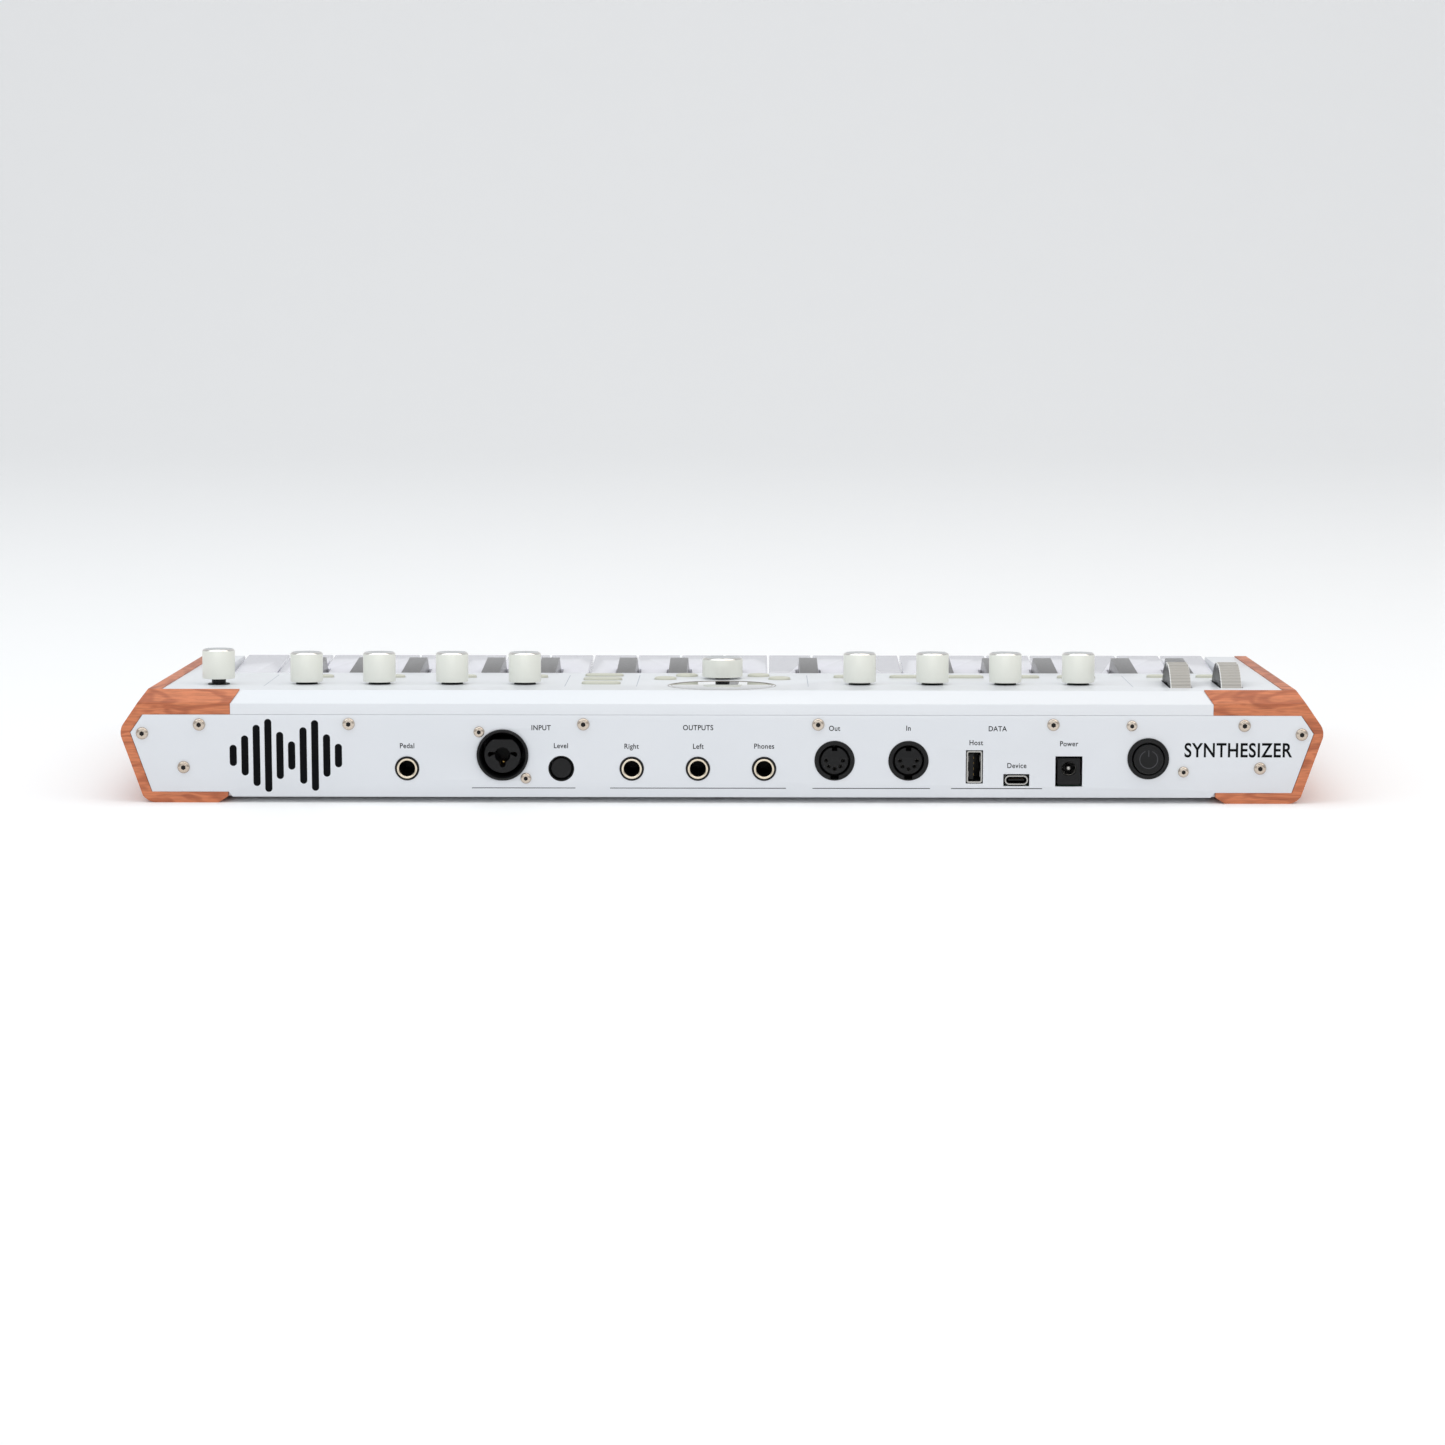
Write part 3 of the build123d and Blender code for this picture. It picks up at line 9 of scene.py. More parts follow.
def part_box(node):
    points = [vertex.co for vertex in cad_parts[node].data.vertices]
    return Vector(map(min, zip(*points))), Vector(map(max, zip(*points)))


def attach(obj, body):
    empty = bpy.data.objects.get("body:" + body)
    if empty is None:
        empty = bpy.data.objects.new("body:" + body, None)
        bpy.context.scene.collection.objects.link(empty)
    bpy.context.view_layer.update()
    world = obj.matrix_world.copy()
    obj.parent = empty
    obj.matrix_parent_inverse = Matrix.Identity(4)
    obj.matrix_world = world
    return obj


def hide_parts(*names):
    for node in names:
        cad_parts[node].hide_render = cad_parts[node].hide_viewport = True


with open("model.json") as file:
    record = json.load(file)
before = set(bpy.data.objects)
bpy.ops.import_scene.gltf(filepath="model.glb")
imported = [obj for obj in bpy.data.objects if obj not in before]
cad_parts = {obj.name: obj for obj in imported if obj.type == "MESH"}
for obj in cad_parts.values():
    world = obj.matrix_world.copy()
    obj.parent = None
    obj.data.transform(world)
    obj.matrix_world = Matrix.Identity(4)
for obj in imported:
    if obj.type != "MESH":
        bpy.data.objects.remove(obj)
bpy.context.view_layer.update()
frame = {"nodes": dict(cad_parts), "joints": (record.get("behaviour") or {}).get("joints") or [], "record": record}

# The looks of a compact stage synthesizer. Sizes are in millimetres and are turned
# into metres when a mesh is made. Places come from the frame: joints, mounts and boxes.
MM = 0.001
JOINTS = {joint["name"]: joint for joint in frame["joints"]}
MOUNTS = {mount["name"]: mount for mount in frame["record"]["mounts"]}
NORMAL = Vector(JOINTS["volume_knob_turn"]["axis"]).normalized()
PANEL_POINT = Vector(JOINTS["macro_knob_1_turn"]["pos_m"])
REAR_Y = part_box("rear_plate")[1].y
IN_PLACE = Matrix.Identity(4)
ROUND_STEPS = 64
SMOOTH_ANGLE = math.radians(33)
SHARP_ANGLE = 34
CAP_SHARP_ANGLE = 25
FLAT_ANGLE = math.radians(0.7)
WELD_DISTANCE = 2e-6
CURVE_WELD_DISTANCE = 1e-7
WHITE_KEYS = 22
BLACK_KEY_NODES = 3
MACRO_KNOBS = 8

# ------------------------------------------------------------------ sizes
KNOB_GAP = 1.0
KNOB_HEIGHT = 12.6
VOLUME_GAP = 2.5
ENCODER_GAP = 0.8
ENCODER_HEIGHT = 8.4
ENCODER_RADIUS = 8.7
KNOB_RADIUS = 6.9
KNOB_SHAFT_RADIUS = 3.0
KNOB_SHAFT_FOOT = -7.5
ENCODER_SHAFT_RADIUS = 3.1
ENCODER_SHAFT_FOOT = -4.8
BUTTON_TOP = 1.2
BUTTON_BASE = -2.6
BUTTON_FLANGE_LOW = BUTTON_BASE - 0.9
BUTTON_FLANGE_HIGH = BUTTON_BASE - 0.1
PILL_LENGTH = 16.6
PILL_WIDTH = 5.0
PILL_FLANGE = 0.8
ROUND_BUTTON_RADIUS = 4.75
ROUND_FLANGE_RADIUS = 5.5
WHEEL_RADIUS = 23.0
WHEEL_WIDTH = 8.7
WHEEL_RIBS = 80
WHEEL_RIB_DEPTH = 0.16
WHEEL_NOTCH_DEPTH = 2.2
WHEEL_HUB_RADIUS = 14.0
WHEEL_SIDE_RADIUS = 15.0
WHEEL_HUB_SINK = 0.4
AXLE_RADIUS = 2.0
DISPLAY_RADIUS = 23.0
DISPLAY_THICKNESS = 1.5
DISPLAY_LINE_WIDTH = 0.28
DISPLAY_LINE_INSETS = (0.05, 1.5)
SCREW_PROUD = 1.2
REAR_SHANK_RADIUS = 1.3
FLOOR_SHANK_RADIUS = 1.5
FLOOR_SCREW_RADIUS = 2.8
FLOOR_SCREW_SINK = 1.2
THREAD_PITCH = 0.8
LABEL_HEIGHT = 2.1
LABEL_PROUD = 0.02
PANEL_LINE_WIDTH = 0.28
PANEL_LINE_PROUD = 0.015
PANEL_LINE_XS = (193.9, 66.5, 36.1, -36.6, -173.9)
PANEL_LINE_DEPTHS = (24.0, 80.0)


# ------------------------------------------------------------- materials
DRIFT_SCALE = 22.0
BUMP_DISTANCE = 0.0002


def linear(red, green, blue):
    """A colour given as 0-255 screen values, as the shader's linear values, by the sRGB curve."""
    def channel(value):
        value /= 255
        return value / 12.92 if value <= 0.04045 else ((value + 0.055) / 1.055) ** 2.4
    return (channel(red), channel(green), channel(blue), 1.0)


def fill_inputs(node, values):
    """Sets the values of a node's own inputs."""
    for key, value in values.items():
        node.inputs[key].default_value = value


def start_material(name, metallic=0.0, coat=0.0, coat_roughness=0.1, sheen=0.0, specular=0.5):
    """A material with its shader, and makers for further nodes and links."""
    material = bpy.data.materials.new(name)
    material.use_nodes = True
    nodes = material.node_tree.nodes
    shader = nodes["Principled BSDF"]
    fill_inputs(shader, {
        "Metallic": metallic,
        "Coat Weight": coat,
        "Coat Roughness": coat_roughness,
        "Sheen Weight": sheen,
        "Specular IOR Level": specular,
    })

    def add(kind, inputs=None, **settings):
        node = nodes.new(kind)
        for key, value in settings.items():
            setattr(node, key, value)
        fill_inputs(node, inputs or {})
        return node

    return material, shader, add, material.node_tree.links.new


def gloss_and_bump(add, link, shader, pattern, gloss_range, bump):
    """Uneven gloss and fine relief from one noise pattern."""
    gloss = add("ShaderNodeMapRange", {"To Min": gloss_range[0], "To Max": gloss_range[1]})
    link(pattern.outputs["Fac"], gloss.inputs["Value"])
    link(gloss.outputs["Result"], shader.inputs["Roughness"])
    rise = add("ShaderNodeBump", {"Strength": bump, "Distance": BUMP_DISTANCE})
    link(pattern.outputs["Fac"], rise.inputs["Height"])
    link(rise.outputs["Normal"], shader.inputs["Normal"])


def surface(name, light, dark, roughness, metallic=0.0, coat=0.0, grain=900.0, bump=0.02,
            stretch=(1.0, 1.0, 1.0), sheen=0.0, coat_roughness=0.08, specular=0.5):
    """Moulded or coated surface: fine grain, slight colour drift and uneven gloss."""
    material, shader, add, link = start_material(name, metallic, coat, coat_roughness, sheen, specular)
    place = add("ShaderNodeTexCoord")
    mapping = add("ShaderNodeMapping", {"Scale": stretch})
    link(place.outputs["Object"], mapping.inputs["Vector"])
    broad = add("ShaderNodeTexNoise", {"Scale": DRIFT_SCALE, "Detail": 4.0})
    link(mapping.outputs["Vector"], broad.inputs["Vector"])
    mix = add("ShaderNodeMix", {"A": dark, "B": light}, data_type="RGBA")
    link(broad.outputs["Fac"], mix.inputs["Factor"])
    link(mix.outputs["Result"], shader.inputs["Base Color"])
    fine = add("ShaderNodeTexNoise", {"Scale": grain, "Detail": 3.0})
    link(mapping.outputs["Vector"], fine.inputs["Vector"])
    gloss_and_bump(add, link, shader, fine, (roughness * 0.85, roughness * 1.15), bump)
    return material


def wood():
    """Oiled reddish wood: long figure along the piece, fine dark streaks and pores."""
    material, shader, add, link = start_material("wood_oiled", coat=0.12, coat_roughness=0.4)
    place = add("ShaderNodeTexCoord")

    def stretched_noise(stretch, values):
        mapping = add("ShaderNodeMapping", {"Scale": stretch})
        link(place.outputs["Object"], mapping.inputs["Vector"])
        noise = add("ShaderNodeTexNoise", {"Scale": 1.0, **values})
        link(mapping.outputs["Vector"], noise.inputs["Vector"])
        return noise

    figure = stretched_noise((38.0, 9.0, 150.0), {"Detail": 2.0, "Distortion": 0.6})
    bands = add("ShaderNodeMath", {1: 26.0}, operation="MULTIPLY")
    link(figure.outputs["Fac"], bands.inputs[0])
    wave = add("ShaderNodeMath", operation="SINE")
    link(bands.outputs["Value"], wave.inputs[0])
    rings = add("ShaderNodeMapRange", {"From Min": -1.0})
    link(wave.outputs["Value"], rings.inputs["Value"])
    ramp = add("ShaderNodeValToRGB")
    stops = ((0.0, linear(176, 94, 56)), (0.8, linear(206, 121, 78)))
    for element, (position, colour) in zip(ramp.color_ramp.elements, stops):
        element.position = position
        element.color = colour
    link(rings.outputs["Result"], ramp.inputs["Fac"])
    pores = stretched_noise((130.0, 60.0, 2300.0), {"Detail": 4.0, "Roughness": 0.6})
    shade = add("ShaderNodeMapRange", {"From Min": 0.32, "From Max": 0.6, "To Min": 0.62, "To Max": 1.05})
    link(pores.outputs["Fac"], shade.inputs["Value"])
    mix = add("ShaderNodeMix", {"Factor": 0.7}, data_type="RGBA", blend_type="MULTIPLY")
    link(ramp.outputs["Color"], mix.inputs["A"])
    link(shade.outputs["Result"], mix.inputs["B"])
    link(mix.outputs["Result"], shader.inputs["Base Color"])
    gloss_and_bump(add, link, shader, pores, (0.6, 0.42), 0.15)
    return material


def make_materials():
    """Every finish, by the name its maker uses."""
    white = linear(226, 228, 232)
    return {
        "body": surface("body_paint_satin", white, linear(222, 225, 229), 0.34, coat=0.15, bump=0.03),
        "plate": surface("plate_powder_coat", linear(222, 224, 228), linear(217, 220, 225), 0.45,
                         grain=2600.0, bump=0.10),
        "wood": wood(),
        "frame": surface("frame_dark_plastic", linear(58, 58, 62), linear(48, 48, 52), 0.55),
        "steel": surface("steel_ground", linear(205, 205, 208), linear(180, 180, 184), 0.28, metallic=1.0,
                         stretch=(0.05, 1.0, 1.0)),
        "glass": surface("display_gloss_white", linear(206, 208, 210), linear(198, 201, 204), 0.03,
                         metallic=0.75, coat=1.0, bump=0.0, coat_roughness=0.01),
        "board": surface("board_green", linear(30, 92, 62), linear(20, 70, 48), 0.4),
        "black": surface("socket_black_plastic", linear(17, 17, 18), linear(11, 11, 12), 0.4,
                         bump=0.05, specular=0.25),
        "chrome": surface("chrome_polished", linear(240, 238, 234), linear(230, 226, 220), 0.09,
                          metallic=1.0, bump=0.0),
        "ferrule": surface("ferrule_warm_chrome", linear(238, 230, 214), linear(212, 196, 172), 0.16,
                           metallic=1.0, bump=0.01),
        "connector": surface("connector_tin", linear(196, 194, 190), linear(160, 158, 154), 0.27,
                             metallic=1.0, bump=0.04),
        "brass": surface("contact_brass", linear(214, 180, 110), linear(190, 150, 84), 0.3, metallic=1.0),
        "screw": surface("screw_warm_steel", linear(216, 206, 194), linear(186, 170, 154), 0.2,
                         metallic=1.0, bump=0.03),
        "rubber": surface("foot_rubber", linear(34, 34, 35), linear(24, 24, 25), 0.8, bump=0.12),
        "pearl": surface("knob_pearl", linear(234, 235, 227), linear(230, 231, 222), 0.36, metallic=0.1,
                         bump=0.01),
        "silver": surface("knob_top_silver", linear(222, 224, 224), linear(204, 206, 208), 0.3,
                          metallic=0.85, grain=1800.0, bump=0.05),
        "shaft": surface("shaft_black", linear(20, 20, 21), linear(12, 12, 13), 0.35, bump=0.02,
                         specular=0.25),
        "wheel": surface("wheel_soft_grey", linear(178, 174, 168), linear(164, 160, 154), 0.55,
                         bump=0.12, sheen=0.15),
        "rim": surface("wheel_edge_white", linear(238, 238, 236), linear(228, 228, 226), 0.35),
        "cream": surface("button_cream", linear(206, 206, 192), linear(196, 196, 182), 0.45, bump=0.05),
        "key_white": surface("key_white_gloss", linear(228, 227, 236), linear(223, 222, 232), 0.16,
                             coat=0.4, bump=0.01),
        "key_black": surface("key_black_fine", linear(64, 61, 61), linear(56, 53, 53), 0.32, coat=0.3,
                             bump=0.04),
        "print": surface("print_black", linear(14, 15, 18), linear(9, 10, 12), 0.8, specular=0.08),
        "outline": surface("display_outline", linear(150, 142, 134), linear(132, 124, 116), 0.4),
        # Panel lines: a darker blue-grey painted on thin proud strips as the shade inside the grooves between
        # panel groups.
        "gap": surface("painted_groove_shade", linear(176, 182, 192), linear(160, 166, 176), 0.6),
    }


MATERIALS = make_materials()


# ----------------------------------------------------------- mesh makers
def finish_piece(mesh, name, matrix, body, materials, replaces=()):
    """Turns a mesh into a named piece that rides on its body."""
    mesh.transform(matrix)
    for material in materials:
        mesh.materials.append(MATERIALS[material])
    mesh.shade_smooth()
    mesh.set_sharp_from_angle(angle=SMOOTH_ANGLE)
    piece = bpy.data.objects.new(name, mesh)
    bpy.context.scene.collection.objects.link(piece)
    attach(piece, body)
    if replaces:
        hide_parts(*replaces)


def mesh_from(name, points, faces, indices=()):
    """Mesh from points in millimetres, with an optional material index for each face."""
    mesh = bpy.data.meshes.new(name)
    mesh.from_pydata([Vector(point) * MM for point in points], [], faces)
    for polygon, index in zip(mesh.polygons, indices):
        polygon.material_index = index
    mesh.update()
    return mesh


def lathe(profile, steps=ROUND_STEPS, outline=None):
    """Points, faces and material indices of a turned shape round local Z.

    profile is a list of (radius, height), or of (radius, height, material index of the band
    that ends there); the index is 0 where none is given.
    outline(angle, radius, ring number) may bend the round shape."""
    profile = [(*point, 0)[:3] for point in profile]
    points, faces, indices = [], [], []
    for ring, (radius, height, _) in enumerate(profile):
        for step in range(steps):
            angle = 2 * math.pi * step / steps
            reach = outline(angle, radius, ring) if outline else radius
            points.append((reach * math.cos(angle), reach * math.sin(angle), height))
    for ring in range(len(profile) - 1):
        for step in range(steps):
            after = (step + 1) % steps
            low, high = ring * steps, (ring + 1) * steps
            faces.append((low + step, low + after, high + after, high + step))
            indices.append(profile[ring + 1][2])
    last = (len(profile) - 1) * steps
    faces.append(tuple(range(steps - 1, -1, -1)))
    indices.append(profile[0][2])
    faces.append(tuple(range(last, last + steps)))
    indices.append(profile[-1][2])
    return points, faces, indices


def ring_lathe(profile, steps=ROUND_STEPS):
    """Points and faces of a turned ring: its profile is a closed loop, so there are no end faces."""
    points, faces, _ = lathe(profile, steps)
    faces = faces[:-2]
    last = (len(profile) - 1) * steps
    for step in range(steps):
        after = (step + 1) % steps
        faces.append((last + step, last + after, after, step))
    return points, faces


def placed(point, axis, right):
    """Matrix that puts local Z on axis and local X near right, at a point in metres."""
    up = Vector(axis).normalized()
    side = (Vector(right) - up * up.dot(Vector(right))).normalized()
    return Matrix.Translation(point) @ Matrix((side, up.cross(side), up)).transposed().to_4x4()


def on_panel(x, y):
    """Place on the panel at X and Y in metres, with local Z along its normal."""
    offset = (Vector((x, y, 0)) - Vector((PANEL_POINT.x, PANEL_POINT.y, 0))).dot(NORMAL)
    return placed(Vector((x, y, PANEL_POINT.z - offset / NORMAL.z)), NORMAL, (1, 0, 0))


def on_rear(x, z, proud=0.0):
    """Place on the rear plate, in metres: local X to -X, local Y up, local Z outwards."""
    return placed(Vector((x, REAR_Y + proud * MM, z)), (0, 1, 0), (-1, 0, 0))


def refined(node, material, rounds, body="case", angle=SHARP_ANGLE):
    """Copy of a CAD node with its long sharp edges rounded. rounds lists (width, segments, test)."""
    source = frame["nodes"][node].data
    work = bmesh.new()
    made = [work.verts.new(vertex.co) for vertex in source.vertices]
    for polygon in source.polygons:
        try:
            work.faces.new([made[index] for index in polygon.vertices])
        except ValueError:
            continue  # The mesh has this face already.
    bmesh.ops.remove_doubles(work, verts=work.verts, dist=WELD_DISTANCE)
    bmesh.ops.dissolve_limit(work, angle_limit=FLAT_ANGLE, verts=work.verts, edges=work.edges)
    for width, segments, test in rounds:
        edges = [edge for edge in work.edges if is_sharp(edge, angle) and test(edge)]
        bmesh.ops.bevel(work, geom=edges, offset=width * MM, segments=segments, profile=0.5,
                        affect="EDGES", clamp_overlap=True, offset_type="OFFSET")
    bmesh.ops.recalc_face_normals(work, faces=work.faces)
    mesh = bpy.data.meshes.new(node + "_shell")
    work.to_mesh(mesh)
    work.free()
    finish_piece(mesh, node + "_shell", IN_PLACE, body, [material], [node])


def is_sharp(edge, angle):
    """Whether two faces meet here at a clear outer or inner corner of more than this many degrees."""
    return edge.is_manifold and edge.calc_face_angle() > math.radians(angle)


def longer(length):
    """Test for edges longer than this many millimetres."""
    return lambda edge: edge.calc_length() > length * MM


def islands(node):
    """Boxes, in metres, of the separate solids in a CAD node."""
    work = bmesh.new()
    work.from_mesh(frame["nodes"][node].data)
    bmesh.ops.remove_doubles(work, verts=work.verts, dist=WELD_DISTANCE)
    seen, boxes = set(), []
    for first in work.verts:
        if first in seen:
            continue
        group, queue = [], [first]
        seen.add(first)
        while queue:
            vertex = queue.pop()
            group.append(vertex.co.copy())
            for edge in vertex.link_edges:
                other = edge.other_vert(vertex)
                if other not in seen:
                    seen.add(other)
                    queue.append(other)
        low = Vector(min(point[axis] for point in group) for axis in range(3))
        high = Vector(max(point[axis] for point in group) for axis in range(3))
        boxes.append((low, high))
    work.free()
    return sorted(boxes, key=lambda box: (round(box[0].x, 5), round(box[0].y, 5)))


def circle(radius, centre=(0.0, 0.0), steps=48):
    """Points of a circle."""
    return arc(radius, 0, 360 * (1 - 1 / steps), centre, steps)


def arc(radius, start, end, centre=(0.0, 0.0), steps=24):
    """Points of an arc, from start to end degrees."""
    angles = [math.radians(start + (end - start) * step / (steps - 1)) for step in range(steps)]
    return [(centre[0] + radius * math.cos(a), centre[1] + radius * math.sin(a)) for a in angles]


def rounded_box(width, height, radius, centre=(0.0, 0.0), steps=8):
    """Points of a rectangle with round corners."""
    across, up = width / 2 - radius, height / 2 - radius
    points = []
    for number, (x, y) in enumerate(((1, 1), (-1, 1), (-1, -1), (1, -1))):
        corner = (centre[0] + x * across, centre[1] + y * up)
        points += arc(radius, 90 * number, 90 * number + 90, corner, steps)
    return points


def cut_shape(name, outlines, low, high, bevel=0.0):
    """Mesh of a flat shape with holes, in millimetres, between two heights, edges rounded."""
    curve = bpy.data.curves.new(name, "CURVE")
    curve.dimensions = "2D"
    curve.fill_mode = "BOTH"
    for outline in outlines:
        spline = curve.splines.new("POLY")
        spline.points.add(len(outline) - 1)
        for point, (x, y) in zip(spline.points, outline):
            point.co = (x * MM, y * MM, 0, 1)
        spline.use_cyclic_u = True
    curve.extrude = ((high - low) / 2 - bevel) * MM
    curve.bevel_depth = bevel * MM
    curve.bevel_resolution = 2
    curve.offset = -bevel * MM
    return curve_mesh(curve, name, (low + high) / 2)


def curve_mesh(curve, name, middle):
    """Mesh of a curve or text, moved up by a height in millimetres."""
    holder = bpy.data.objects.new(name + "_curve", curve)
    mesh = bpy.data.meshes.new_from_object(holder)
    bpy.data.objects.remove(holder)
    mesh.transform(Matrix.Translation((0, 0, middle * MM)))
    work = bmesh.new()
    work.from_mesh(mesh)
    bmesh.ops.remove_doubles(work, verts=work.verts, dist=CURVE_WELD_DISTANCE)
    bmesh.ops.recalc_face_normals(work, faces=work.faces)
    work.to_mesh(mesh)
    work.free()
    mesh.materials.clear()
    mesh.name = name
    return mesh


def joined(name, parts):
    """One mesh from several, each given as (mesh, matrix)."""
    work = bmesh.new()
    for mesh, matrix in parts:
        mesh.transform(matrix)
        work.from_mesh(mesh)
        bpy.data.meshes.remove(mesh)
    mesh = bpy.data.meshes.new(name)
    work.to_mesh(mesh)
    work.free()
    return mesh


def with_index(mesh, index):
    """The same mesh with every face on one material index."""
    for polygon in mesh.polygons:
        polygon.material_index = index
    return mesh


def turned(name, profile, steps=ROUND_STEPS, ring=False):
    """Mesh of a lathe or ring profile."""
    maker = ring_lathe if ring else lathe
    return mesh_from(name, *maker(profile, steps))


# ---------------------------------------------------------------- shells
def build_shells():
    """Casing, plate, end caps and keys, with rounded edges."""
    refined("top_cover", "body", [(0.4, 2, longer(1.6))])
    refined("rear_plate", "plate", [(0.25, 2, longer(1.6))])
    refined("lower_case", "body", [(0.3, 2, longer(2.5))])
    build_end_caps()
    for number in range(1, WHITE_KEYS + 1):
        node = f"white_key_{number:02d}"
        refined(node, "key_white", [(0.45, 3, longer(1.2))], body=node)
    for number in range(1, BLACK_KEY_NODES + 1):
        node = f"black_keys_octave_{number}"
        refined(node, "key_black", [(0.85, 4, longer(1.5))], body=node)
    for node, material, slot in (
        ("key_frame", "frame", "frame_plastic"),
        ("pivot_rod", "steel", "steel"),
        ("circuit_boards", "board", "board"),
        ("rubber_feet", "rubber", "foot_rubber"),
    ):
        plain_node(node, material)


# Where the long soft edges of an end cap lie, in millimetres: lowest and highest Z, and
# how far in from the cap's outer side they may be.
CAP_RIDGE = (18, 33, 4)
CAP_UNDERSIDE = (-1, 1, 16)
CAP_LONG_EDGE = 60


def build_end_caps():
    """Wooden end caps: soft ridge and underside along their length, the other edges just eased."""
    for side in ("left", "right"):
        node = f"end_cap_{side}"
        low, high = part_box(node)
        outer = high.x if side == "right" else -low.x

        def outer_edge(edge, zone):
            low_z, high_z, reach = zone
            first, second = (vertex.co for vertex in edge.verts)
            middle = (first + second) / 2
            lengthwise = abs(first.y - second.y) > CAP_LONG_EDGE * MM
            return lengthwise and low_z * MM < middle.z < high_z * MM and abs(middle.x) > outer - reach * MM

        refined(node, "wood", [
            (3.2, 6, lambda edge: outer_edge(edge, CAP_RIDGE)),
            (2.6, 5, lambda edge: outer_edge(edge, CAP_UNDERSIDE)),
            (0.55, 3, longer(2.0)),
        ], angle=CAP_SHARP_ANGLE)


def plain_node(node, material):
    """A CAD node that is shown as it is, with its finish."""
    shown = frame["nodes"][node]
    shown.data.materials.clear()
    shown.data.materials.append(MATERIALS[material])


# ----------------------------------------------------------------- knobs
# Material indices of a knob's bands, in the order of KNOB_FINISHES.
SIDE, BRIGHT, DISH, SHAFT = range(4)
KNOB_FINISHES = ["pearl", "chrome", "silver", "shaft"]


def knob_profile(radius, gap, height):
    """Pearl cylinder with a bright chamfer ring and a shallow silver dish."""
    top = gap + height
    return [
        (radius - 1.6, gap, SIDE),
        (radius - 0.35, gap, SIDE),
        (radius - 0.1, gap + 0.1, SIDE),
        (radius, gap + 0.35, SIDE),
        (radius, top - 0.75, SIDE),
        (radius - 0.06, top - 0.62, BRIGHT),
        (radius - 0.62, top - 0.06, BRIGHT),
        (radius - 0.75, top, BRIGHT),
        (radius - 1.0, top, BRIGHT),
        (radius - 1.12, top - 0.08, DISH),
        (radius - 1.5, top - 0.2, DISH),
        (radius - 2.6, top - 0.3, DISH),
        (radius * 0.35, top - 0.38, DISH),
        (0.2, top - 0.4, DISH),
    ]


def shaft_profile(radius, foot, top):
    """Black shaft with a collar nut at the panel."""
    points = [
        (0.2, foot),
        (radius, foot),
        (radius, -0.05),
        (radius + 1.7, -0.05),
        (radius + 1.7, 0.25),
        (radius + 1.4, 0.5),
        (radius + 0.1, 0.5),
        (radius, 0.6),
        (radius, top),
        (0.2, top),
    ]
    return [(reach, height, SHAFT) for reach, height in points]


def build_knobs():
    """Volume knob, eight macro knobs and the main encoder."""
    names = ["volume_knob"] + [f"macro_knob_{number}" for number in range(1, MACRO_KNOBS + 1)]
    for name in names:
        place = placed(Vector(JOINTS[name + "_turn"]["pos_m"]), NORMAL, (1, 0, 0))
        gap = VOLUME_GAP if name == "volume_knob" else KNOB_GAP
        cap = turned(name, knob_profile(KNOB_RADIUS, gap, KNOB_HEIGHT))
        stem = turned(name + "_stem", shaft_profile(KNOB_SHAFT_RADIUS, KNOB_SHAFT_FOOT, gap + 0.2))
        mesh = joined(name + "_cap", [(cap, IN_PLACE), (stem, IN_PLACE)])
        finish_piece(mesh, name + "_cap", place, name, KNOB_FINISHES, [name])
    place = placed(Vector(JOINTS["encoder_turn"]["pos_m"]), NORMAL, (1, 0, 0))
    cap = turned("encoder", knob_profile(ENCODER_RADIUS, ENCODER_GAP, ENCODER_HEIGHT))
    finish_piece(cap, "encoder_knob_cap", place, "encoder_knob", KNOB_FINISHES[:SHAFT],
                 ["encoder_knob"])
    stem = turned("encoder_stem", [
        (0.2, ENCODER_SHAFT_FOOT), (ENCODER_SHAFT_RADIUS, ENCODER_SHAFT_FOOT), (ENCODER_SHAFT_RADIUS, 0.5),
        (2.95, 0.68), (2.0, 0.7), (2.0, 7.0), (0.2, 7.1),
    ])
    finish_piece(stem, "encoder_stem", place, "encoder_shaft", ["shaft"],
                 ["encoder_shaft"])


def build_display():
    """Glossy round lens over the screen, with a thin double outline."""
    low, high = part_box("display_lens")
    place = on_panel((low.x + high.x) / 2, (low.y + high.y) / 2)
    lens = turned("lens", [
        (0.2, -DISPLAY_THICKNESS), (DISPLAY_RADIUS, -DISPLAY_THICKNESS), (DISPLAY_RADIUS, -0.25),
        (DISPLAY_RADIUS - 0.08, -0.07), (DISPLAY_RADIUS - 0.25, 0.0), (0.2, 0.0),
    ], steps=128)
    finish_piece(lens, "display_lens_disc", place, "case", ["glass"],
                 ["display_lens"])
    rings = []
    for inset in DISPLAY_LINE_INSETS:
        outer = DISPLAY_RADIUS - inset
        outlines = [circle(outer, steps=128), circle(outer - DISPLAY_LINE_WIDTH, steps=128)]
        rings.append((cut_shape("ring", outlines, 0.0, LABEL_PROUD), IN_PLACE))
    mesh = joined("display_outline", rings)
    finish_piece(mesh, "display_outline", place, "case", ["outline"])


# --------------------------------------------------------------- buttons
def build_buttons():
    """Pill and round caps with soft crowned tops."""
    for node in ("left_buttons", "right_buttons", "octave_buttons", "round_buttons"):
        parts = []
        for low, high in islands(node):
            place = on_panel((low.x + high.x) / 2, (low.y + high.y) / 2)
            cap = round_cap() if node == "round_buttons" else pill_mesh(PILL_LENGTH, PILL_WIDTH)
            parts.append((cap, place))
        mesh = joined(node + "_caps", parts)
        finish_piece(mesh, node + "_caps", IN_PLACE, node, ["cream"], [node])


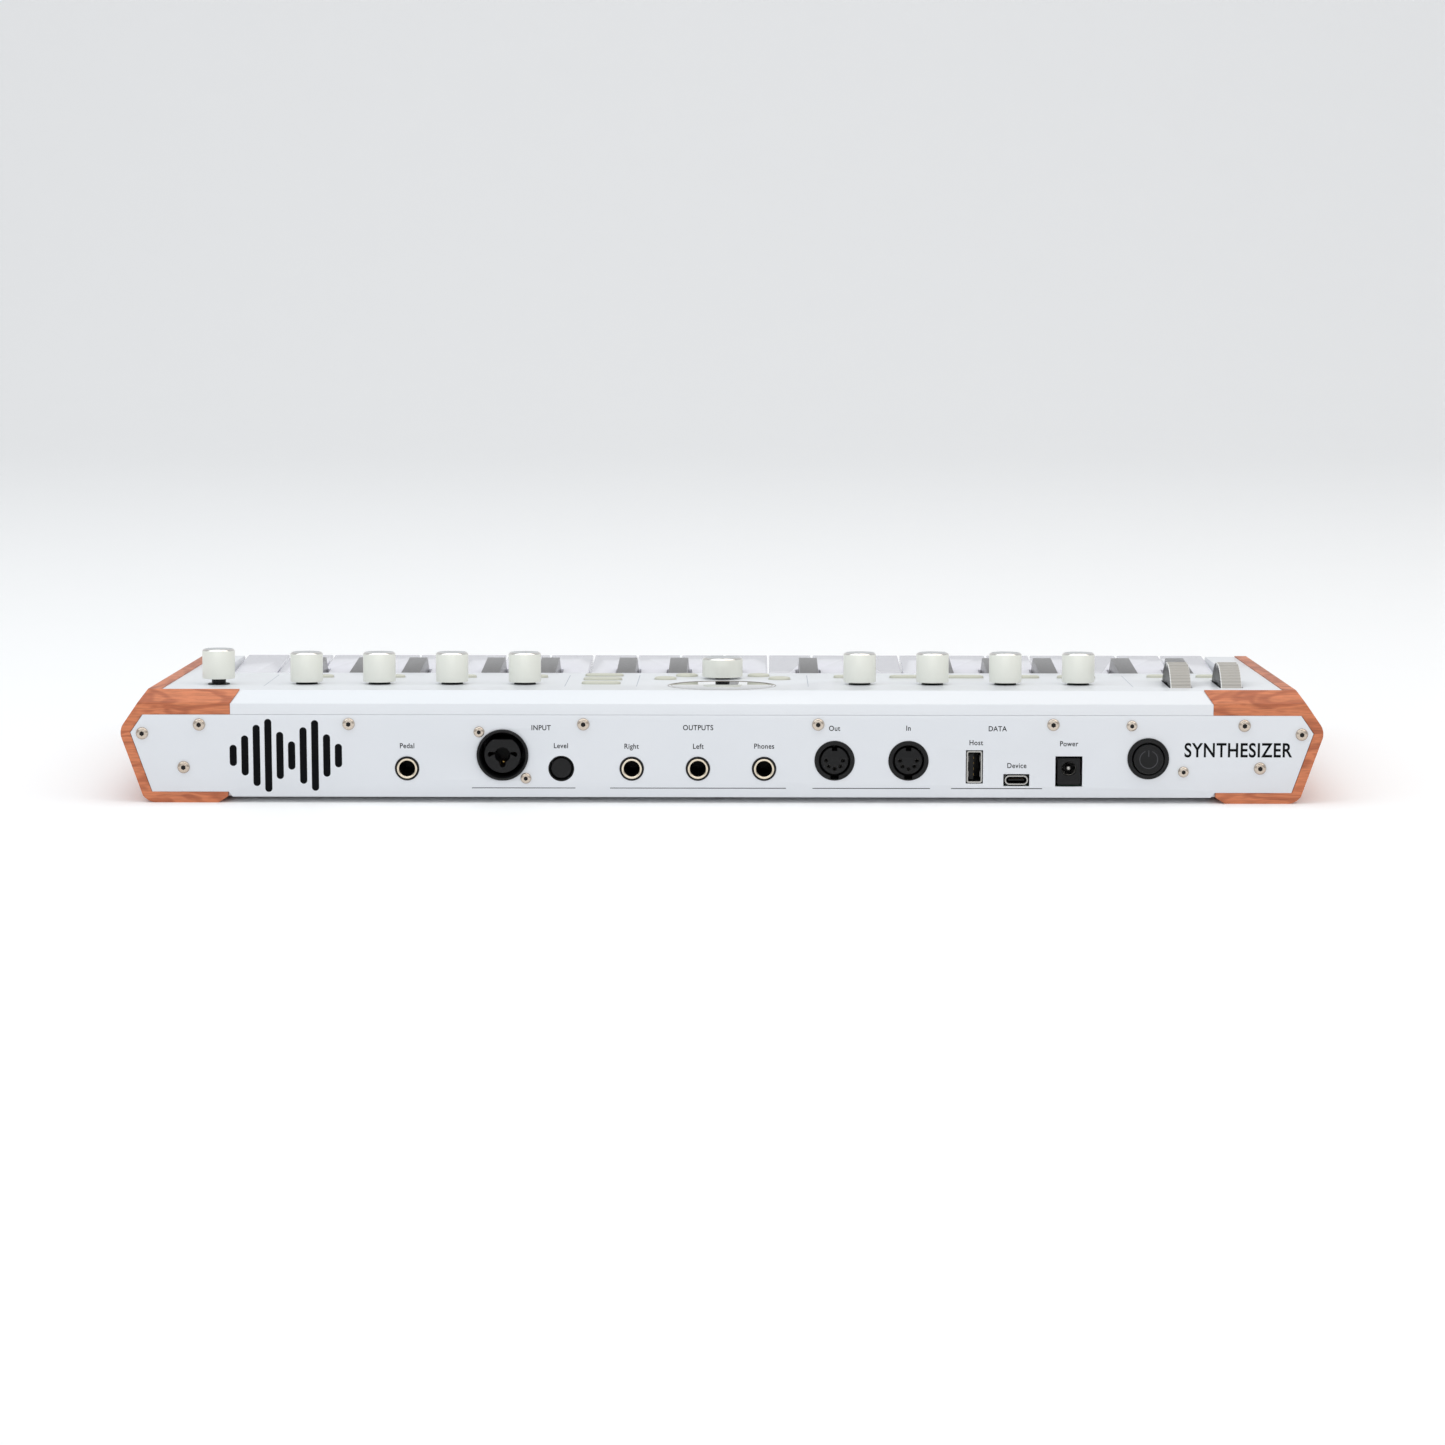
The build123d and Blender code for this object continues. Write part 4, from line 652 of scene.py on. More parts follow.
def round_cap():
    """Round button with a flange below the panel."""
    return turned("round", [
        (0.3, BUTTON_FLANGE_LOW), (ROUND_FLANGE_RADIUS, BUTTON_FLANGE_LOW),
        (ROUND_FLANGE_RADIUS, BUTTON_FLANGE_HIGH), (ROUND_BUTTON_RADIUS, BUTTON_BASE),
        (ROUND_BUTTON_RADIUS, 0.35), (4.68, 0.62), (4.45, 0.85), (4.0, 1.02), (2.8, 1.15),
        (1.2, BUTTON_TOP), (0.1, BUTTON_TOP),
    ], steps=48)


def pill_mesh(length, width):
    """Stadium-shaped cap: a flange below the panel, a straight wall and a crowned top."""
    levels = [
        (PILL_FLANGE, BUTTON_FLANGE_LOW), (PILL_FLANGE, BUTTON_FLANGE_HIGH), (0.0, BUTTON_BASE), (0.0, 0.5),
        (-0.07, 0.78), (-0.3, 0.98), (-0.75, 1.1), (-1.4, BUTTON_TOP), (-2.1, BUTTON_TOP),
    ]
    half, radius = length / 2 - width / 2, width / 2
    steps = 14
    points, faces = [], []
    for grow, height in levels:
        for side, start in ((1, -90), (-1, 90)):
            ring = arc(radius + grow, start, start + 180, (side * half, 0), steps)
            points += [(x, y, height) for x, y in ring]
    count = 2 * steps
    for level in range(len(levels) - 1):
        for step in range(count):
            after = (step + 1) % count
            low, high = level * count, (level + 1) * count
            faces.append((low + step, low + after, high + after, high + step))
    last = (len(levels) - 1) * count
    faces.append(tuple(range(count - 1, -1, -1)))
    faces.append(tuple(range(last, last + count)))
    return mesh_from("pill", points, faces)


# ---------------------------------------------------------------- wheels
# Material indices of a wheel's bands, in the order of WHEEL_FINISHES.
GRIP, EDGE, FLANK, AXLE = range(4)
WHEEL_FINISHES = ["wheel", "rim", "shaft", "steel"]


def wheel_radius(angle):
    """Rim radius at an angle from the top: a V notch, a smooth crown, then fine ribs."""
    notch = WHEEL_NOTCH_DEPTH / WHEEL_RADIUS
    angle = abs((angle + math.pi) % (2 * math.pi) - math.pi)
    if angle < notch:
        return WHEEL_RADIUS - WHEEL_NOTCH_DEPTH * (1 - angle / notch) ** 1.2
    if angle < 2.0 * notch:
        return WHEEL_RADIUS
    wave = math.cos(WHEEL_RIBS * angle)
    return WHEEL_RADIUS - WHEEL_RIB_DEPTH + WHEEL_RIB_DEPTH * max(-0.9, min(0.9, 1.8 * wave))


def build_wheels():
    """Two performance wheels: ribbed grey rim, thin white edges and black sides."""
    half = WHEEL_WIDTH / 2
    hub = half - WHEEL_HUB_SINK
    bands = [
        (0.25, -hub, FLANK),
        (WHEEL_HUB_RADIUS, -hub, FLANK),
        (WHEEL_SIDE_RADIUS, -half, FLANK),
        (WHEEL_RADIUS - 0.75, -half, FLANK),
        (WHEEL_RADIUS - 0.2, -half, EDGE),
        (WHEEL_RADIUS - 0.03, -half + 0.15, EDGE),
        (WHEEL_RADIUS, -half + 0.35, GRIP),
        (WHEEL_RADIUS, 0, GRIP),
        (WHEEL_RADIUS, half - 0.35, GRIP),
        (WHEEL_RADIUS - 0.03, half - 0.15, EDGE),
        (WHEEL_RADIUS - 0.2, half, EDGE),
        (WHEEL_RADIUS - 0.75, half, FLANK),
        (WHEEL_SIDE_RADIUS, half, FLANK),
        (WHEEL_HUB_RADIUS, hub, FLANK),
        (0.25, hub, FLANK),
    ]

    def outline(angle, radius, ring):
        if radius <= WHEEL_SIDE_RADIUS:
            return radius
        return radius - (WHEEL_RADIUS - wheel_radius(angle))

    for node in ("pitch_wheel", "modulation_wheel"):
        disc = mesh_from(node, *lathe(bands, WHEEL_RIBS * 8, outline))
        low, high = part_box(node)
        stub = (high.x - low.x) / 2 / MM
        axle = turned("axle", [
            (0.2, -stub, AXLE), (AXLE_RADIUS - 0.2, -stub, AXLE), (AXLE_RADIUS, -stub + 0.2, AXLE),
            (AXLE_RADIUS, stub - 0.2, AXLE), (AXLE_RADIUS - 0.2, stub, AXLE), (0.2, stub, AXLE),
        ], steps=24)
        mesh = joined(node + "_disc", [(disc, IN_PLACE), (axle, IN_PLACE)])
        place = placed(Vector(JOINTS[node + "_turn"]["pos_m"]), (1, 0, 0), (0, 0, 1))
        finish_piece(mesh, node + "_disc", place, node, WHEEL_FINISHES, [node])


# ----------------------------------------------------------- rear fittings
def build_screws():
    """Button-head screws with hexagon sockets, and the flat floor screws."""
    parts = []
    for low, high in islands("screws"):
        centre = (low + high) / 2
        if high.y > REAR_Y:
            place = on_rear(centre.x, centre.z)
            parts.append((screw_head((high.x - low.x) / 2 / MM), place))
            parts.append((screw_shank(REAR_SHANK_RADIUS, (REAR_Y - low.y) / MM), place))
        else:
            place = placed(Vector((centre.x, centre.y, low.z)), (0, 0, -1), (1, 0, 0))
            parts.append((screw_head(FLOOR_SCREW_RADIUS, proud=0.0, sink=FLOOR_SCREW_SINK), place))
            parts.append((screw_shank(FLOOR_SHANK_RADIUS, (high.z - low.z) / MM), place))
    mesh = joined("screws_detailed", parts)
    # The second finish, black, is painted shade on the floor of each hexagon socket.
    finish_piece(mesh, "screws_detailed", IN_PLACE, "case", ["screw", "shaft"], ["screws"])


def screw_head(radius, proud=SCREW_PROUD, sink=0.0):
    """Domed head with a hexagon socket, above local Z = 0 by proud and below by sink. The socket floor takes
    material index 1, black, as painted shade in the recess.
    """
    hexagon = radius * 0.36
    rise = proud + sink
    # Index 1 is black shaft plastic: the socket floor is painted shade, not the steel's own colour.
    socket = 1
    profile = [
        (0.3, -sink),
        (radius, -sink),
        (radius, -sink + 0.12 * rise),
        (radius * 0.96, -sink + 0.42 * rise),
        (radius * 0.82, -sink + 0.75 * rise),
        (radius * 0.66, -sink + 0.93 * rise),
        (radius * 0.56, proud),
        (hexagon * 1.06, proud),
        (hexagon, proud - 0.08),
        (hexagon, proud - 0.7),
        (hexagon * 0.8, proud - 0.78, socket),
        (0.1, proud - 0.95, socket),
    ]
    hexagonal_rings = range(7, 11)

    def outline(angle, reach, ring):
        if ring not in hexagonal_rings:
            return reach
        sector = (angle + math.pi / 6) % (math.pi / 3) - math.pi / 6
        return reach * math.cos(math.pi / 6) / math.cos(sector) * 1.08

    return mesh_from("head", *lathe(profile, 48, outline))


def screw_shank(radius, length):
    """Threaded shank below the head: rings of a fine thread."""
    profile = [(0.2, -length)]
    for number in range(int(length / THREAD_PITCH) - 1):
        height = -length + 0.3 + number * THREAD_PITCH
        profile += [(radius * 0.8, height), (radius, height + THREAD_PITCH / 2)]
    profile += [(radius * 0.85, -0.2), (0.2, -0.1)]
    return turned("shank", profile, steps=16)


def build_jacks():
    """Quarter-inch sockets: black body and nose ring, and bright ferrules."""
    plain_node("jack_sockets", "black")
    rings, noses = [], []
    for name in ("sustain_jack", "right_output_jack", "left_output_jack", "headphones_jack"):
        place = Vector(MOUNTS[name]["pos_m"])
        spot = on_rear(place.x, place.z)
        rings.append((turned("ferrule", [
            (4.28, -1.2), (4.28, 0.3), (4.2, 0.5), (4.0, 0.6), (3.75, 0.58),
            (3.45, 0.42), (3.27, 0.15), (3.22, -0.3), (3.22, -1.2),
        ], ring=True), spot))
        noses.append((turned("nose", [
            (5.1, -0.6), (5.1, 0.1), (5.0, 0.28), (4.8, 0.35), (4.5, 0.35),
            (4.36, 0.25), (4.32, -0.6),
        ], ring=True), spot))
    finish_piece(joined("ferrules", rings), "jack_ferrule_rings", IN_PLACE, "case",
                 ["ferrule"], ["jack_ferrules"])
    finish_piece(joined("noses", noses), "jack_nose_rings", IN_PLACE, "case",
                 ["black"])


COMBO_ISLAND_RADIUS = 7.65
COMBO_FLAT = 6.6
COMBO_BORE_RADIUS = 3.2
COMBO_LOBE_RADIUS = 1.2
COMBO_LOW_LOBE_RADIUS = 1.1
COMBO_PINS = ((4.9, 0.2), (-4.9, 0.2), (0, -4.2))


def build_combo():
    """Combined socket: raised lip, keyed island with its three-lobed hole, deep groove."""
    place = Vector(MOUNTS["combo_jack"]["pos_m"])
    spot = on_rear(place.x, place.z)
    lip = turned("lip", [
        (10.8, -2.0), (10.8, 0.5), (10.68, 0.8), (10.4, 0.95), (10.05, 0.95),
        (9.8, 0.8), (9.7, 0.5), (9.4, -0.6), (9.2, -1.2), (9.2, -20.0), (9.9, -20.0),
    ], ring=True)
    chord = math.degrees(math.asin(COMBO_FLAT / COMBO_ISLAND_RADIUS))
    island = arc(COMBO_ISLAND_RADIUS, 180 - chord, 360 + chord, steps=64)
    right_pin, left_pin, low_pin = COMBO_PINS
    hole = arc(COMBO_BORE_RADIUS, -62, 8, steps=10)
    hole += arc(COMBO_LOBE_RADIUS, -60, 60, right_pin, 8)
    hole += arc(COMBO_BORE_RADIUS, 20, 160, steps=20)
    hole += arc(COMBO_LOBE_RADIUS, 120, 240, left_pin, 8)
    hole += arc(COMBO_BORE_RADIUS, 172, 242, steps=10)
    hole += arc(COMBO_LOW_LOBE_RADIUS, 210, 330, low_pin, 8)
    face = cut_shape("island", [island, hole], -14.0, -0.15, bevel=0.25)
    core = turned("core", [
        (0.3, -24.0), (7.0, -24.0), (7.0, -13.9), (4.6, -13.9), (4.4, -14.2), (0.3, -14.3),
    ])
    back = turned("back", [
        (7.1, -21.0), (10.8, -21.0), (10.8, -19.5), (7.1, -19.5),
    ], ring=True)
    mesh = joined("combo", [(part, spot) for part in (lip, face, core, back)])
    finish_piece(mesh, "combo_socket_face", IN_PLACE, "case", ["black"],
                 ["combo_socket"])
    contacts = []
    for x, y in COMBO_PINS:
        pin = turned("contact", [
            (0.15, -12.0), (0.65, -12.0), (0.65, -7.6), (0.5, -7.2), (0.15, -7.0),
        ], steps=16)
        contacts.append((pin, spot @ Matrix.Translation((x * MM, y * MM, 0))))
    finish_piece(joined("contacts", contacts), "combo_contacts", IN_PLACE, "case",
                 ["brass"])


DIN_RIM_RADIUS = 8.42
DIN_GROOVE_RADIUS = 6.55
DIN_ISLAND_RADIUS = 5.7
DIN_PIN_CIRCLE = 3.5
DIN_HOLE_RADIUS = 0.8
DIN_DEPTH = -9.5


def build_din():
    """Two five-pin sockets: rim with a notch, groove, island with keyway and pin holes."""
    parts, pins = [], []
    for name in ("din_out", "din_in"):
        place = Vector(MOUNTS[name]["pos_m"])
        spot = on_rear(place.x, place.z)
        notch = [(-1.7, -6.9), (-1.7, -7.85), (1.7, -7.85), (1.7, -6.9)]
        inner = arc(DIN_GROOVE_RADIUS, -75, 255, steps=60) + notch
        outer = circle(DIN_RIM_RADIUS, steps=72)
        parts.append((cut_shape("rim", [outer, inner], DIN_DEPTH, 0.35, bevel=0.28), spot))
        keyway = [(1.1, 5.6), (1.1, 4.1), (-1.1, 4.1), (-1.1, 5.6)]
        holes = []
        for number in range(5):
            angle = math.radians(180 + 45 * number)
            hole_x, hole_y = DIN_PIN_CIRCLE * math.cos(angle), DIN_PIN_CIRCLE * math.sin(angle)
            holes.append(circle(DIN_HOLE_RADIUS, (hole_x, hole_y), 16))
            pin = turned("pin", [
                (0.72, -9.0), (0.72, -0.9), (0.66, -0.8), (0.55, -0.9), (0.55, -9.0),
            ], steps=16, ring=True)
            pins.append((pin, spot @ Matrix.Translation((hole_x * MM, hole_y * MM, 0))))
        island = arc(DIN_ISLAND_RADIUS, 102, 438, steps=60) + keyway
        parts.append((cut_shape("island", [island] + holes, DIN_DEPTH, 0.1, bevel=0.2), spot))
        parts.append((turned("floor", [
            (0.3, -10.5), (8.4, -10.5), (8.4, -9.4), (0.3, -9.4),
        ]), spot))
    finish_piece(joined("din", parts), "five_pin_sockets", IN_PLACE, "case",
                 ["black"])
    finish_piece(joined("din_pins", pins), "five_pin_contacts", IN_PLACE, "case",
                 ["connector"])


INLET_CENTRE_Z = 13.6
INLET_DROP = 1.1
INLET_BORE_RADIUS = 3.05
USB_SPRING_X = 2.45
USB_SPRING_Y = 3.2
USB_STRIP_PITCH = 2.33
C_PIN_PITCH = 0.5
C_PIN_Y = 0.38


def build_usb_and_inlet():
    """Upright USB, USB-C and barrel inlet, behind their cut-outs. Thin black liners inside the metal shells are
    painted shade.
    """
    usb_spot, slim_spot, barrel_spot = (
        on_rear(MOUNTS[name]["pos_m"][0], MOUNTS[name]["pos_m"][2])
        for name in ("usb_host_port", "usb_device_port", "power_inlet")
    )
    shell = cut_shape("usb_shell", [rounded_box(6.5, 13.6, 0.9), rounded_box(5.3, 12.3, 0.5)],
                      -13.0, -0.1, bevel=0.12)
    back = cut_shape("usb_back", [rounded_box(6.3, 13.4, 0.6)], -13.6, -12.8, bevel=0.1)
    # Thin black liner just inside the metal shell: painted shade over the shell's inner walls.
    shade_liner = cut_shape("usb_shade_liner", [rounded_box(5.2, 12.2, 0.45), rounded_box(4.9, 11.9, 0.4)], -12.9, -0.9)
    springs = [
        cut_shape("spring", [rounded_box(0.25, 2.4, 0.1, (side * USB_SPRING_X, end * USB_SPRING_Y))],
                  -7.0, -1.2, bevel=0.04)
        for side in (-1, 1) for end in (-1, 1)
    ]
    tongue = cut_shape("usb_tongue", [rounded_box(2.1, 11.0, 0.25, (-1.35, 0))], -12.9, -1.4, bevel=0.15)
    strips = [
        cut_shape("strip", [rounded_box(0.14, 1.0, 0.05, (-0.26, -3.5 + USB_STRIP_PITCH * number))],
                  -11.0, -2.4)
        for number in range(4)
    ]
    c_shell = cut_shape("c_shell", [rounded_box(9.7, 4.0, 1.9), rounded_box(8.6, 2.9, 1.4)],
                        -7.4, -0.1, bevel=0.12)
    # The same painted shade lines the inside of the USB-C shell.
    c_shade_liner = cut_shape("c_shade_liner", [rounded_box(8.5, 2.8, 1.35), rounded_box(8.3, 2.6, 1.25)], -7.3, -0.7)
    c_back = cut_shape("c_back", [rounded_box(9.5, 3.8, 1.8)], -7.8, -7.2, bevel=0.1)
    c_tongue = cut_shape("c_tongue", [rounded_box(6.7, 0.75, 0.2)], -7.3, -1.0, bevel=0.08)
    c_pins = []
    for number in range(12):
        for side in (-1, 1):
            spot = (-2.75 + C_PIN_PITCH * number, side * C_PIN_Y)
            c_pins.append(cut_shape("c_pin", [rounded_box(0.26, 0.05, 0.02, spot)], -6.0, -1.6))
    inlet = cut_shape("inlet", [rounded_box(9.6, 11.2, 0.7), circle(INLET_BORE_RADIUS)],
                      -10.0, 0.05, bevel=0.2)
    inlet_back = cut_shape("inlet_back", [rounded_box(9.4, 11.0, 0.5)], -11.0, -9.8, bevel=0.1)
    sleeve = turned("sleeve", [
        (3.0, -9.0), (3.0, -1.5), (2.85, -1.3), (2.7, -1.5), (2.7, -9.0),
    ], steps=40, ring=True)
    pin = turned("pin", [
        (0.2, -9.9), (1.0, -9.9), (1.0, -2.2), (0.9, -1.8), (0.6, -1.55), (0.1, -1.45),
    ], steps=24)
    metal = [(shell, usb_spot), (c_shell, slim_spot)]
    metal += [(spring, usb_spot) for spring in springs]
    metal += [(sleeve, barrel_spot), (pin, barrel_spot)]
    finish_piece(joined("metal", metal), "connector_shells", IN_PLACE, "case",
                 ["connector"], ["data_and_power_sockets"])
    barrel_z = MOUNTS["power_inlet"]["pos_m"][2]
    body_low = Matrix.Translation((0, (INLET_CENTRE_Z * MM - barrel_z), 0))
    # Black parts: tongues, backs and inlet body, and the liners that paint shade inside both metal shells.
    dark = [(tongue, usb_spot), (c_tongue, slim_spot), (back, usb_spot), (c_back, slim_spot)]
    dark += [(shade_liner, usb_spot), (c_shade_liner, slim_spot)]
    dark += [(inlet_shifted(inlet), barrel_spot), (inlet_back, barrel_spot @ body_low)]
    finish_piece(joined("dark", dark), "connector_tongues_and_shade_liners", IN_PLACE, "case", ["black"])
    gold = [(strip, usb_spot) for strip in strips] + [(part, slim_spot) for part in c_pins]
    finish_piece(joined("gold", gold), "connector_contacts", IN_PLACE, "case", ["brass"])


def inlet_shifted(mesh):
    """The inlet's body sits a little below its bore: points outside the bore move down."""
    for vertex in mesh.vertices:
        x, y = vertex.co.x / MM, vertex.co.y / MM
        if math.hypot(x, y) > INLET_BORE_RADIUS + 0.55:
            vertex.co.y -= INLET_DROP * MM
    return mesh


def build_power_and_gain():
    """Stepped switch bezel with its dished cap, and the recessed gain knob, with a black collar that paints the
    shade in the gap round it.
    """
    low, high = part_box("power_button")
    spot = on_rear((low.x + high.x) / 2, (low.z + high.z) / 2)
    bezel = turned("bezel", [
        (7.4, -14.0), (7.4, -0.1), (8.72, -0.1), (8.72, 0.35), (8.55, 0.62),
        (8.15, 0.72), (7.75, 0.8), (7.6, 1.05), (7.3, 1.2), (6.95, 1.2),
        (6.7, 1.0), (6.62, 0.5), (6.62, -14.0),
    ], ring=True)
    finish_piece(bezel, "power_switch_bezel", spot, "case", ["black"],
                 ["power_switch_housing"])
    cap = turned("cap", [
        (0.3, -11.0), (6.0, -11.0), (6.3, -10.6), (6.3, 1.9), (6.2, 2.3),
        (5.9, 2.55), (5.5, 2.6), (5.0, 2.5), (3.6, 2.25), (1.8, 2.12), (0.1, 2.1),
    ])
    ring = arc(3.9, 112, 428, steps=60) + arc(3.55, 428, 112, steps=60)
    mark = joined("power_mark", [
        (with_index(cut_shape("ring", [ring], 2.28, 2.31), 1), IN_PLACE),
        (with_index(cut_shape("stroke", [rounded_box(0.4, 3.4, 0.18, (0, 2.9))], 2.24, 2.31), 1), IN_PLACE),
        (cap, IN_PLACE),
    ])
    finish_piece(mark, "power_button_cap", spot, "power_button", ["black", "frame"],
                 ["power_button"])
    gain = Vector(JOINTS["gain_knob_turn"]["pos_m"])
    gain_spot = on_rear(gain.x, gain.z)
    face = turned("gain", [
        (0.3, -16.0), (3.0, -16.0), (3.0, -9.0), (4.35, -9.0), (4.35, -1.2),
        (4.2, -0.95), (3.9, -0.82), (3.2, -0.8), (0.4, -0.86),
    ])
    finish_piece(face, "gain_knob_face", gain_spot, "gain_knob", ["shaft"], ["gain_knob"])
    # Black collar between the gain knob and its hole in the plate: painted shade of the dark recess.
    collar = turned("collar", [
        (5.42, -3.0), (5.42, -0.12), (5.3, 0.0), (5.0, -0.15), (4.75, -0.6), (4.65, -3.0),
    ], ring=True)
    finish_piece(collar, "gain_hole_shade_ring", gain_spot, "case", ["black"])


# ------------------------------------------------------------------ print
# Words on the rear plate with the X and Z of their middles, and group lines from X to X, in millimetres.
LABELS = (
    ("Pedal", 131.5, 24.1),
    ("INPUT", 75.4, 31.8),
    ("Level", 67.1, 24.2),
    ("OUTPUTS", 9.7, 31.9),
    ("Right", 37.6, 24.0),
    ("Left", 9.7, 24.0),
    ("Phones", -17.9, 24.1),
    ("Out", -47.3, 31.7),
    ("In", -78.2, 31.8),
    ("DATA", -115.4, 31.6),
    ("Host", -106.5, 25.7),
    ("Device", -123.6, 16.0),
    ("Power", -145.3, 25.3),
)
GROUP_LINES = ((104.5, 61.1), (46.6, -27.1), (-38.2, -87.4), (-96.2, -134.3))
GROUP_LINE_Z = 6.35
GROUP_LINE_WIDTH = 0.3
MOTIF_BARS = (9.0, 17.0, 26.0, 31.0, 20.0, 12.0, 24.0, 30.0, 18.0, 10.0)
MOTIF_LOW = 4.5
MOTIF_LEFT_X = 205.9
MOTIF_PITCH = 4.9
MOTIF_BAR_WIDTH = 3.0
NAME_WORD = ("SYNTHESIZER", -215.9, 22.4, 45.0)
NAME_HEIGHT = 5.8
NAME_WEIGHT = 0.16
CAPITAL_SHARE = 0.69
LETTER_SPACING = 1.08
LABEL_SQUEEZE = 0.9


def words(text, height, width=None, weight=0.04):
    """Mesh of a plain word with its middle at the origin; width squeezes it to fit, weight thickens it."""
    curve = bpy.data.curves.new(text, "FONT")
    curve.body = text
    curve.size = height / CAPITAL_SHARE * MM
    curve.space_character = LETTER_SPACING
    curve.align_x = "CENTER"
    curve.align_y = "CENTER"
    curve.extrude = LABEL_PROUD / 2 * MM
    curve.offset = weight * MM
    mesh = curve_mesh(curve, text, LABEL_PROUD / 2)
    xs = [vertex.co.x for vertex in mesh.vertices]
    share = LABEL_SQUEEZE if width is None else width * MM / (max(xs) - min(xs))
    mesh.transform(Matrix.Scale(share, 4, (1, 0, 0)))
    return mesh


def build_print():
    """Function words, group lines and a plain bar motif on the rear plate."""
    parts = [(words(text, LABEL_HEIGHT), on_rear(x * MM, z * MM)) for text, x, z in LABELS]
    text, x, z, width = NAME_WORD
    parts.append((words(text, NAME_HEIGHT, width, NAME_WEIGHT), on_rear(x * MM, z * MM)))
    for left, right in GROUP_LINES:
        line = cut_shape("line", [rounded_box(left - right, GROUP_LINE_WIDTH, 0.1)], 0.0, LABEL_PROUD)
        parts.append((line, on_rear((left + right) / 2 * MM, GROUP_LINE_Z * MM)))
    centre = MOTIF_LOW + max(MOTIF_BARS) / 2
    for number, height in enumerate(MOTIF_BARS):
        bar = cut_shape("bar", [rounded_box(MOTIF_BAR_WIDTH, height, MOTIF_BAR_WIDTH / 2 - 0.01)], 0.0,
                        LABEL_PROUD)
        x = MOTIF_LEFT_X - MOTIF_BAR_WIDTH / 2 - MOTIF_PITCH * number
        parts.append((bar, on_rear(x * MM, centre * MM)))
    finish_piece(joined("print", parts), "rear_print", IN_PLACE, "case",
                 ["print"])


def build_panel_lines():
    """Fine lines across the panel between the groups of controls: painted shade of the grooves there, drawn as
    thin proud strips of darker blue-grey.
    """
    back, front = (REAR_Y - depth * MM for depth in PANEL_LINE_DEPTHS)
    length = (back - front) / MM
    parts = []
    for x in PANEL_LINE_XS:
        line = cut_shape("line", [rounded_box(PANEL_LINE_WIDTH, length, 0.13)], 0.0, PANEL_LINE_PROUD)
        parts.append((line, on_panel(x * MM, (back + front) / 2)))
    finish_piece(joined("panel_groove_shade_lines", parts), "panel_groove_shade_lines", IN_PLACE, "case",
                 ["gap"])


# ------------------------------------------------------------------ stage
# The stage is in metres. A light has a name, place, target, size, power in watts and colour.
FLOOR_WIDTH = 7.0
FLOOR_NEAR_Y = 3.2
FLOOR_FAR_Y = -2.6
FLOOR_BEND_RADIUS = 1.2
FLOOR_BEND_STEPS = 16
FLOOR_TOP_Z = 4.0
LIGHTS = (
    ("ceiling_cool", (0.75, 0.25, 1.5), (0.1, 0.0, 0.0), (1.3, 1.9), 9.5, (0.90, 0.97, 1.0)),
    ("ceiling_warm", (-0.75, 0.25, 1.5), (-0.1, 0.0, 0.0), (1.3, 1.9), 9.5, (1.0, 0.95, 0.89)),
    ("front", (0.1, 2.6, 1.3), (0.0, 0.0, 0.02), (3.0, 1.6), 13, (1.0, 1.0, 1.0)),
)
WORLD_COLOR = (0.96, 0.98, 1.0, 1)
WORLD_STRENGTH = 0.62


